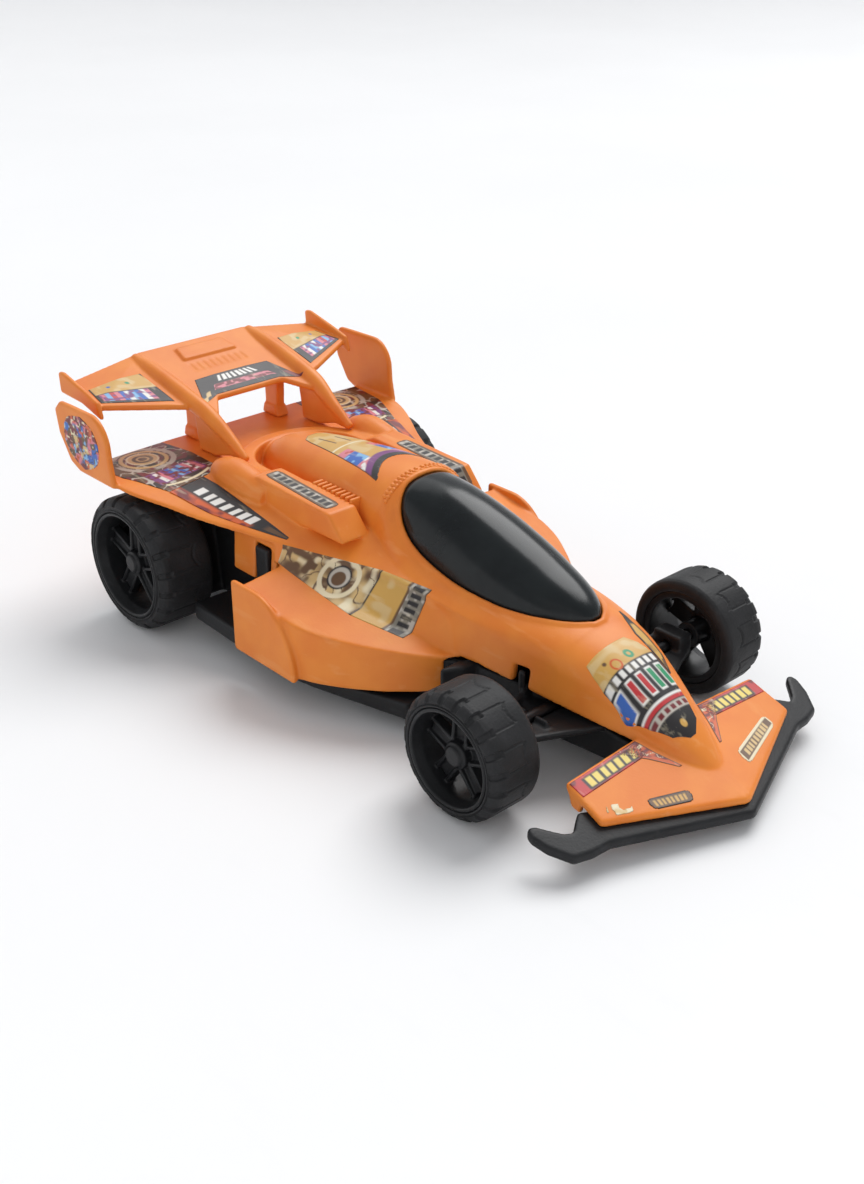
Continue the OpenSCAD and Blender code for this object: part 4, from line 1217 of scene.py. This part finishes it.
def cover_art(p: Artwork) -> None:
    """Gold field, coloured patches down both sides and a dark sweep at the front."""
    n = p.length
    p.lay(1, Ink.GOLD)
    p.lay(p.clouds(2.6, 0.6), Ink.SAND)
    p.lay(p.strip(0.66 * n, 0.86 * n, -2.4, -1.9), Ink.BROWN)
    p.lay(p.strip(0.62 * n, 0.80 * n, 1.6, 2.2), Ink.BROWN)
    p.lay(p.strip(0.56 * n, 0.58 * n), Ink.CREAM)
    side = edge(-np.abs(p.b), -p.half * 0.45, 0.5)
    for lo, hi, ink, spot in (
        (0.10, 0.25, Ink.PINK, Ink.WHITE), (0.25, 0.42, Ink.BLUE, Ink.SKY), (0.42, 0.50, Ink.PINK, Ink.RED),
    ):
        zone = side * p.strip(lo * n, hi * n)
        p.lay(zone, ink)
        p.lay(zone * p.clouds(1.1, 0.62, 0.2), spot)
    p.lay(side * p.strip(0.06 * n, 0.1 * n), Ink.PURPLE)
    arch = 0.12 * n * (1 - (np.abs(p.b) / 9.6) ** 2)
    p.lay(edge(p.a - arch - 0.13 * n, 0, 0.6), Ink.PURPLE)
    p.lay(edge(p.a - arch - 0.065 * n, 0, 0.5), Ink.BLACK)
    p.border(0.2, Ink.BROWN)
    p.kept = (p.a > arch).astype(float)


def vent_art(p: Artwork) -> None:
    """Grey-brown strip with a row of dark blocks in a dark frame."""
    n = p.length
    p.lay(1, Ink.BROWN)
    p.lay(p.strip(0.8, n - 0.8, -1.7, 1.7), Ink.GREY)
    p.lay(p.clouds(1.2, 0.6) * p.strip(0.8, n - 0.8, -1.7, 1.7), Ink.SILVER)
    p.lay(p.blocks(1.4, n - 1.4, -1.2, 1.2, 10), Ink.BLACK)
    p.trim(1.8)


def deck_art(p: Artwork) -> None:
    """Dark field with gold and silver scrolls, a ringed disc, coloured bars and a pale curved line."""
    n = p.length
    p.lay(1, Ink.BROWN)
    p.lay(p.clouds(3.0, 0.52), Ink.BLACK)
    p.lay(p.clouds(2.2, 0.66, 0.2, 3), Ink.MAROON)
    p.lay(p.scrolls(3.4, 0.09), Ink.SILVER)
    p.lay(p.ring(0.74 * n, 0, 8.4, 1.6) * p.clouds(2.5, 0.3, 0.3, 8), Ink.SILVER)
    p.lay(p.ring(0.74 * n, 0, 6.4, 1.2), Ink.SAND)
    p.lay(p.disc(0.76 * n, 0, 4.6), Ink.SAND)
    p.lay(p.ring(0.76 * n, 0, 4.4, 0.6), Ink.CREAM)
    p.lay(p.disc(0.76 * n, 0, 3.0), Ink.BROWN)
    p.lay(p.ring(0.76 * n, 0, 1.6, 0.6), Ink.SAND)
    band = p.strip(0.14 * n, 0.40 * n, -8.2, 8.2)
    p.lay(band, Ink.PURPLE)
    p.bars(0.16 * n, 0.38 * n, -7.5, 7.5, [
        Ink.PINK, Ink.WHITE, Ink.PINK, Ink.SKY, Ink.BLUE, Ink.SKY, Ink.BLUE, Ink.PURPLE, Ink.PINK, Ink.WHITE,
        Ink.PURPLE,
    ], along=False)
    p.lay(band * p.clouds(1.0, 0.62, 0.2, 7), Ink.MAROON)
    p.lay(edge(np.abs(p.a - 0.05 * n - 0.03 * p.b**2), 0.5, 0.3) * edge(np.abs(p.b), 7.4, 0.5), Ink.CREAM)


def tail_art(p: Artwork) -> None:
    """Black wedge with pale blocks between an ember red fade and a brown point."""
    n = p.length
    p.lay(1, Ink.BLACK)
    outer = edge(p.half * 0.42 - p.b, 0, 1.2) * edge(0.3 * n - p.a, 0, 3)
    p.lay(outer, Ink.EMBER)
    p.lay(outer * p.clouds(2.0, 0.6), Ink.MAROON)
    p.lay(p.blocks(0.30 * n, 0.90 * n, -1.9, 1.4, 7) * edge(0.8 - p.b - p.half, 0, 0.2), Ink.WHITE)
    p.lay(edge(p.a, 0.2 * n, 2) * edge(np.abs(p.b), p.half * 0.5, 0.3), Ink.BROWN)


def wing_centre_art(p: Artwork) -> None:
    """Black band with a row of pale blocks over a pink band."""
    n = p.length
    across = p.b / p.half
    p.lay(1, Ink.BLACK)
    row = edge(0.22 - across, 0, 0.06) * edge(across, 0.80, 0.06)
    p.lay(p.blocks(0.26 * n, 0.78 * n, -99, 99, 8) * row, Ink.WHITE)
    band = p.strip(0.20 * n, 0.82 * n) * edge(-0.52 - across, 0, 0.06) * edge(across, -0.02, 0.06)
    p.lay(band, Ink.PINK)
    p.lay(band * p.clouds(1.1, 0.5), Ink.MAROON)
    p.lay(p.strip(-1, 0.13 * n) * edge(across, -0.2, 0.2) * p.clouds(2.0, 0.45), Ink.SAND)
    p.lay(p.strip(0.93 * n, 99) * edge(across, -0.2, 0.2), Ink.MAROON)


def wing_side_art(p: Artwork) -> None:
    """Gold field over a band of blue, red and pale bars in a black frame."""
    n = p.length
    across = p.b / p.half
    p.lay(1, Ink.BLACK)
    field = edge(0.05 - across, 0, 0.05) * edge(p.a, n - 0.5, 0.3)
    field = field * edge(0.6 - p.a - 2.2 * (1 - across), 0, 0.3)
    p.lay(field, Ink.GOLD)
    p.lay(field * p.clouds(2.0, 0.6), Ink.SAND)
    p.lay(p.disc(0.36 * n, 4.2, 0.7), Ink.GREEN)
    p.lay(p.disc(0.70 * n, 3.4, 0.6), Ink.BLUE)
    band = edge(-0.80 - across, 0, 0.05) * edge(across, -0.02, 0.05) * p.strip(0.16 * n, 0.94 * n)
    inks = [Ink.PINK, Ink.WHITE, Ink.BLUE, Ink.SKY, Ink.WHITE, Ink.BLUE, Ink.PINK, Ink.RED, Ink.SKY, Ink.PINK]
    for k, ink in enumerate(inks):
        lo = (0.16 + 0.078 * k) * n
        p.lay(band * p.strip(lo, lo + 0.078 * n), ink)
    p.lay(band * p.clouds(1.0, 0.7, 0.2, 3), Ink.PURPLE)


def pod_art(p: Artwork) -> None:
    """Grey strip with dark blocks, a plain gold band, then silver and brown scrolls round a ringed disc."""
    n = p.length
    p.lay(1, Ink.GOLD)
    p.lay(p.clouds(3.0, 0.7), Ink.SAND)
    p.lay(p.strip(-1, 0.135 * n), Ink.BROWN)
    p.lay(p.strip(0.006 * n, 0.12 * n), Ink.GREY)
    p.lay(p.strip(0.006 * n, 0.12 * n) * p.clouds(1.0, 0.6), Ink.SILVER)
    p.lay(p.blocks_across(0.03 * n, 0.10 * n, 7), Ink.BLACK)
    back = p.strip(0.34 * n, 2 * n)
    p.lay(back, Ink.BROWN)
    p.lay(back * p.clouds(3.2, 0.55, 0.5), Ink.SAND)
    p.lay(back * p.clouds(2.2, 0.70, 0.35, 4), Ink.CREAM)
    p.lay(back * p.scrolls(3.6, 0.06, 2), Ink.BROWN)
    p.lay(back * p.ring(0.57 * n, 0.6, 5.4, 1.3), Ink.CREAM)
    p.lay(p.disc(0.57 * n, 0.6, 3.4), Ink.BLACK)
    p.lay(p.disc(0.57 * n, 0.6, 2.9), Ink.SILVER)
    p.lay(p.disc(0.57 * n, 0.2, 2.0), Ink.BROWN)
    p.lay(p.strip(0.74 * n, 2 * n) * p.clouds(1.8, 0.5, 0.4, 6), Ink.BROWN)
    p.lay(p.strip(0.335 * n, 0.345 * n), Ink.BLACK)


def mosaic_art(p: Artwork) -> None:
    """Oval of many blue, red and cream patches in a brown frame."""
    p.lay(1, Ink.BROWN)
    for k, (ink, size, level) in enumerate((
        (Ink.SAND, 2.4, 0.62), (Ink.BLUE, 2.4, 0.55), (Ink.SKY, 1.2, 0.76), (Ink.PINK, 1.8, 0.70),
        (Ink.EMBER, 1.4, 0.76), (Ink.MAROON, 2.0, 0.60), (Ink.CREAM, 0.9, 0.84),
    )):
        p.lay(p.clouds(size, level, 0.12, k * 11), ink)
    p.lay(p.scrolls(2.4, 0.05), Ink.BLACK)
    p.trim(5.4)


def barred_art(p: Artwork) -> None:
    """Two rows of coloured bars under gold, with a dark slanting strip behind."""
    n = p.length
    p.lay(1, Ink.SAND)
    p.lay(p.clouds(1.6, 0.5), Ink.EMBER)
    inks = [Ink.BLUE, Ink.WHITE, Ink.RED, Ink.CREAM, Ink.MAROON, Ink.GREEN, Ink.WHITE, Ink.GREEN]
    p.bars(0.06 * n, 0.66 * n, -4.4, -1.0, inks)
    p.lay(p.strip(0.06 * n, 0.66 * n, -1.0, -0.6), Ink.WHITE)
    p.bars(0.06 * n, 0.66 * n, -0.6, 2.4, [Ink.SKY, Ink.BROWN, Ink.GOLD, Ink.GREEN, Ink.MAROON, Ink.GOLD])
    p.lay(edge(np.abs(p.b - 0.35 * (p.a - 0.8 * n)), 1.1, 0.3) * p.strip(0.68 * n, 99), Ink.BROWN)
    p.lay(edge(np.abs(p.a - 0.6 * n), 0.35, 0.25) * edge(-p.b, 0, 0.3), Ink.YELLOW)
    p.trim(1.0)


@dataclass(frozen=True)
class Label:
    """A thin printed label that follows the moulding under it.

    The outline is drawn in the label's own plane, in millimetres: low and high are its two long edges,
    from its start to its end, and the label is pressed on along the direction that it faces.
    """

    name: str
    target: str
    low: Knots
    high: Knots
    art: Callable[[Artwork], None]
    along: tuple[float, float, float] = (0.0, 1.0, 0.0)
    facing: tuple[float, float, float] = (0.0, 0.0, 1.0)
    seed: int = 1
    pitch: float = 0.28
    paper: float = 0.1
    lift: float = 75.0
    least_kept: float = 0.7

    def build(self, mirrored: bool = False) -> None:
        """Presses a grid between the two long edges onto the moulding: P = low (1 - v) + high v.

        Args:
            mirrored: Whether the label is made for the other side of the car.
        """
        low, high = (np.array(e, float) for e in (self.low, self.high))
        steps = np.linalg.norm(np.diff((low + high) / 2, axis=0), axis=1)
        length = steps.sum()
        width = np.linalg.norm(high - low, axis=1).max()
        u = np.linspace(0, 1, max(8, round(length / self.pitch)))
        v = np.linspace(0, 1, max(6, round(width / self.pitch)))
        knots = np.concatenate([[0], np.cumsum(steps)]) / length
        edges = [np.stack([np.interp(u, knots, e[:, k]) for k in (0, 1)], -1) for e in (low, high)]
        grid = edges[0][:, None] * (1 - v)[None, :, None] + edges[1][:, None] * v[None, :, None]
        half = np.linalg.norm(edges[1] - edges[0], axis=1)[:, None] / 2 * np.ones_like(v)
        art = Artwork(u[:, None] * length * np.ones_like(v), (2 * v - 1) * half, length, half, self.seed)
        self.art(art)
        n, m = len(u), len(v)
        quads = sheet_quads(n, m)
        quads = quads[art.kept.ravel()[quads].mean(1) > self.least_kept]
        used, quads = np.unique(quads, return_inverse=True)
        quads = quads.reshape(-1, 4)
        turn = np.cross(grid[1, 0] - grid[0, 0], grid[0, -1] - grid[0, 0])
        quads = quads if turn > 0 else quads[:, ::-1]
        points = np.dstack([grid, np.full((n, m), self.lift)]).reshape(-1, 3)[used]
        word = "_right" if mirrored else ""
        obj = mesh_object(f"label_{self.name}{word}", points, quads)
        tint = obj.data.color_attributes.new("print", "FLOAT_COLOR", "POINT")
        rgba = np.concatenate([art.colour, np.ones((n, m, 1))], -1).reshape(-1, 4)[used]
        tint.data.foreach_set("color", np.ascontiguousarray(rgba, np.float32).ravel())
        a, f = Vector(self.along).normalized(), Vector(self.facing).normalized()
        axes = Matrix((a, f.cross(a), f)).transposed().to_4x4()
        obj.matrix_world = axes
        press = obj.modifiers.new("Press", "SHRINKWRAP")
        press.target = bpy.data.objects[self.target]
        press.wrap_method = "PROJECT"
        press.use_project_z = True
        press.use_negative_direction, press.use_positive_direction = True, False
        press.offset = self.paper * MM
        thick = obj.modifiers.new("Paper", "SOLIDIFY")
        thick.thickness, thick.offset = self.paper * 0.8 * MM, -1
        bpy.context.view_layer.update()
        apply_modifiers(obj)
        obj.matrix_world = Matrix.Identity(4)
        obj.data.transform(axes)
        if mirrored:
            obj.data.transform(Matrix.Scale(-1, 4, Vector((1, 0, 0))))
            obj.data.flip_normals()
        obj.data.materials.append(label_material())
        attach(obj, "car")
        LOG.info("%s: %d faces", obj.name, len(obj.data.polygons))


def label_material() -> bpy.types.Material:
    """Printed paper: the label's own colours, worn a little by the shared grain, under a thin varnish."""
    name = "PrintedLabel"
    if name in bpy.data.materials:
        return bpy.data.materials[name]
    mat = bpy.data.materials.new(name)
    mat.use_nodes = True
    n, link = mat.node_tree.nodes, mat.node_tree.links.new
    shader = n["Principled BSDF"]
    colours = n.new("ShaderNodeAttribute")
    colours.attribute_name = "print"
    grain = n.new("ShaderNodeGroup")
    grain.node_tree = grain_group()
    grain.inputs["Scuff Size"].default_value = 420.0
    worn = n.new("ShaderNodeMath")
    worn.operation = "MULTIPLY"
    worn.inputs[1].default_value = SCUFF_SHARE
    link(grain.outputs["Scuff"], worn.inputs[0])
    tone = mix_colour(mat.node_tree, worn.outputs[0], colours.outputs["Color"], Ink.CREAM.value)
    link(tone, shader.inputs["Base Color"])
    rough = n.new("ShaderNodeMath")
    rough.operation = "MULTIPLY_ADD"
    rough.inputs[1].default_value, rough.inputs[2].default_value = 0.2, 0.3
    link(grain.outputs["Cloud"], rough.inputs[0])
    link(rough.outputs[0], shader.inputs["Roughness"])
    bump = n.new("ShaderNodeBump")
    bump.inputs["Strength"].default_value, bump.inputs["Distance"].default_value = 0.08, GRAIN_DEPTH
    link(grain.outputs["Height"], bump.inputs["Height"])
    link(bump.outputs["Normal"], shader.inputs["Normal"])
    return mat


BODY = "body_moulding"
WING = "rear_wing_moulding"
SIDE_FACING = (0.86, 0.0, 0.51)

CENTRE_LABELS = (
    Label(
        "nose", BODY,
        [(-67.8, 11.7), (-70.5, 12.0), (-74, 11.9), (-80.5, 10.8), (-86.5, 8.4), (-91, 6.0), (-93.6, 2.6)],
        [(-67.8, -1.6), (-70.5, -4.0), (-74, -5.5), (-80.5, -5.0), (-86.5, -4.1), (-91, -2.6), (-93.6, 0.6)],
        nose_art, pitch=0.2,
    ),
    Label(
        "nose_streak", BODY, [(-80, -5.3), (-74, -5.7), (-68, -5.8), (-59.5, -9.4)],
        [(-80, -5.8), (-74.6, -8.8), (-68, -9.6), (-59.5, -9.8)], streak_art, seed=2, pitch=0.2,
    ),
    Label(
        "engine_cover", BODY, [(11.2, 10.2), (16, 9.3), (30, 7.3), (46, 4.9), (49.6, 4.0), (51.4, 1.8)],
        [(11.2, -10.2), (16, -9.3), (30, -7.3), (46, -4.9), (49.6, -4.0), (51.4, -1.8)], cover_art, seed=3,
        pitch=0.24,
    ),
    Label(
        "plate_right", BODY, [(-22.4, -99.8), (-12.2, -103.4)], [(-22.2, -96.8), (-11.0, -100.6)], plate_art,
        along=(1, 0, 0), seed=4, pitch=0.2,
    ),
    Label(
        "plate_left", BODY, [(9.0, -103.2), (27.2, -97.2)], [(9.0, -99.0), (26.8, -93.8)], framed_plate_art,
        along=(1, 0, 0), seed=5, pitch=0.2,
    ),
    Label(
        "worn_patch", BODY, [(-33.0, -95.2), (-26.8, -97.6)], [(-31.6, -92.6), (-25.6, -95.4)], worn_art,
        along=(1, 0, 0), seed=17, pitch=0.2,
    ),
    Label(
        "vent_left", BODY, [(7.0, -17.9), (12.4, -18.2), (36.9, -19.0)],
        [(7.0, -23.8), (12.4, -23.8), (36.9, -23.6)], vent_art, seed=6, pitch=0.22,
    ),
    Label(
        "vent_right", BODY, [(14.8, 24.8), (43.2, 23.9)], [(14.8, 19.6), (43.2, 19.0)], vent_art,
        seed=7, pitch=0.22,
    ),
    Label(
        "wing_centre", WING, [(-18.4, 78.6), (-11.6, 81.8), (11.6, 81.8), (18.4, 78.6)],
        [(-13.2, 91.0), (-6, 91.4), (6, 91.4), (13.6, 91.0)], wing_centre_art,
        along=(1, 0, 0), seed=8, pitch=0.24,
    ),
    Label(
        "endplate_left", BODY, [(82.4, 45.2), (94, 44.8), (101.8, 50)],
        [(83.6, 58.2), (92, 59.4), (101.8, 58.8)], barred_art, along=(0, 1, 0), facing=(1, 0, 0), seed=9,
    ),
    Label(
        "endplate_right", BODY, [(-100, 47.5), (-90, 44.2), (-80.6, 47.4)],
        [(-100, 58.6), (-90, 60.4), (-81.6, 58)], mosaic_art, along=(0, -1, 0), facing=(-1, 0, 0), seed=10,
    ),
)
PAIRED_LABELS = (
    Label(
        "wing_strip", BODY, [(12.6, -88.6), (34.2, -88.4)], [(11.8, -84.3), (34.4, -84.1)], wing_strip_art,
        along=(1, 0, 0), seed=11, pitch=0.22,
    ),
    Label(
        "wing_flame", BODY, [(7.2, -95.2), (10.0, -89.4), (11.8, -84.5)],
        [(8.0, -95.2), (12.8, -89.8), (19, -84.2)], flame_art, along=(1, 0, 0), seed=12,
    ),
    Label(
        "deck", BODY, [(63.6, -24.2), (80, -23.6), (92.6, -25.6)],
        [(63.4, -42.4), (78, -48.3), (92.6, -50.3)], deck_art, seed=13,
    ),
    Label(
        "deck_tail", BODY, [(24.5, -30.2), (46, -30.4), (63.2, -30.8)],
        [(24.5, -31.0), (48.8, -39.2), (63.2, -42.6)], tail_art, seed=14, pitch=0.24,
    ),
    Label(
        "wing_side", WING, [(25.4, 83.8), (44.4, 92.9)], [(25.8, 101.2), (42.6, 102.8)], wing_side_art,
        along=(1, 0, 0), seed=15,
    ),
    Label(
        "pod_side", BODY, [(-20, 6.4), (-5, 6.1), (24.6, 9.7)],
        [(-20.6, 20.6), (-5, 19.8), (24.4, 14.9)], pod_art,
        along=(0, 1, 0), facing=SIDE_FACING, seed=16, pitch=0.24,
    ),
)


# ---------- studio ----------


@dataclass(frozen=True)
class Studio:
    """Pale floor, soft lights and the camera."""

    eye: tuple[float, float, float] = (-0.2466, -0.2685, 0.2099)
    look: tuple[float, float, float] = (0.600, 0.653, -0.462)
    lens: float = 44.8
    floor_half: float = 2600.0
    floor_flat: float = 1500.0
    floor_bend: float = 1800.0
    lights: tuple[tuple[str, tuple[float, float, float], float, float], ...] = (
        ("key_light", (0.8, 0.3, 1.1), 2.1, 0.7),
        ("fill_light", (-0.9, -0.7, 0.7), 0.15, 1.0),
        ("back_light", (0.3, 1.0, 0.7), 0.4, 0.8),
    )
    sky: float = 0.50

    def floor(self) -> None:
        """A wide pale sheet: past the bend, z grows with the square of the distance."""
        u = np.linspace(-1, 1, 80)
        x, y = np.meshgrid(u * self.floor_half, u * self.floor_half, indexing="ij")
        away = np.maximum(np.hypot(x, y) - self.floor_flat, 0)
        z = away**2 / self.floor_bend
        points = np.stack([x, y, z], -1).reshape(-1, 3)
        obj = mesh_object("studio_floor", points, sheet_quads(len(u), len(u)))
        tones = (0.86, 0.86, 0.865), (0.84, 0.84, 0.845)
        paper = Finish("PaperFloor", *tones, 0.6, grain=0.02, cloud_size=4.0)
        obj.data.materials.append(paper.material())

    def light(self, name: str, place: tuple[float, float, float], strength: float, angle: float) -> None:
        """A far, wide light that shines evenly from the direction of a place."""
        data = bpy.data.lights.new(name, "SUN")
        data.energy, data.angle = strength, angle
        obj = bpy.data.objects.new(name, data)
        bpy.context.scene.collection.objects.link(obj)
        obj.location = place
        obj.rotation_mode = "QUATERNION"
        obj.rotation_quaternion = (-Vector(place)).to_track_quat("-Z", "Y")

    def build(self) -> None:
        """Sets the stage."""
        self.floor()
        for name, place, strength, angle in self.lights:
            self.light(name, place, strength, angle)
        world = bpy.data.worlds.new("studio")
        bpy.context.scene.world = world
        world.use_nodes = True
        sky = world.node_tree.nodes["Background"]
        sky.inputs["Color"].default_value = (0.95, 0.97, 1.0, 1)
        sky.inputs["Strength"].default_value = self.sky
        bpy.context.scene.view_settings.view_transform = "Standard"
        data = bpy.data.cameras.new("camera")
        data.lens = self.lens
        data.clip_start, data.clip_end = 0.01, 20
        cam = bpy.data.objects.new("camera", data)
        bpy.context.scene.collection.objects.link(cam)
        cam.location = self.eye
        cam.rotation_mode = "QUATERNION"
        cam.rotation_quaternion = Vector(self.look).to_track_quat("-Z", "Y")
        bpy.context.scene.camera = cam


def finish_cad_nodes(frame: dict) -> None:
    """Gives every CAD node that is still shown the finish of its slot."""
    by_name = {slot.value: slot for slot in Slot}
    for name, node in frame["nodes"].items():
        if node.hide_render:
            continue
        word = node.data.materials[0].name.split(".")[0]
        node.data.materials.clear()
        node.data.materials.append(FINISHES[by_name[word]].material())
        LOG.info("%s: CAD mesh with finish %s", name, word)


def main() -> None:
    """Builds the car's pieces in order."""
    logging.basicConfig(level=logging.INFO, format="%(name)s: %(message)s")
    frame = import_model()
    BodyMoulding().build()
    Canopy().build()
    RearWing().build()
    FrontBumper().build()
    Chassis().build(frame["nodes"]["chassis"])
    Wheel(
        "front", "front_wheelset", tyre_r=16.5, tyre_w=15.6, rim_r=13.2, inner_x=35.2, axle_y=-60.0
    ).build()
    Wheel("rear", "rear_wheelset", tyre_r=20.0, tyre_w=18.0, rim_r=16.0, inner_x=36.5, axle_y=72.0).build()
    for label in CENTRE_LABELS:
        label.build()
    for label in PAIRED_LABELS:
        label.build()
        label.build(mirrored=True)
    finish_cad_nodes(frame)
    Studio().build()


if __name__ == "__main__":
    main()
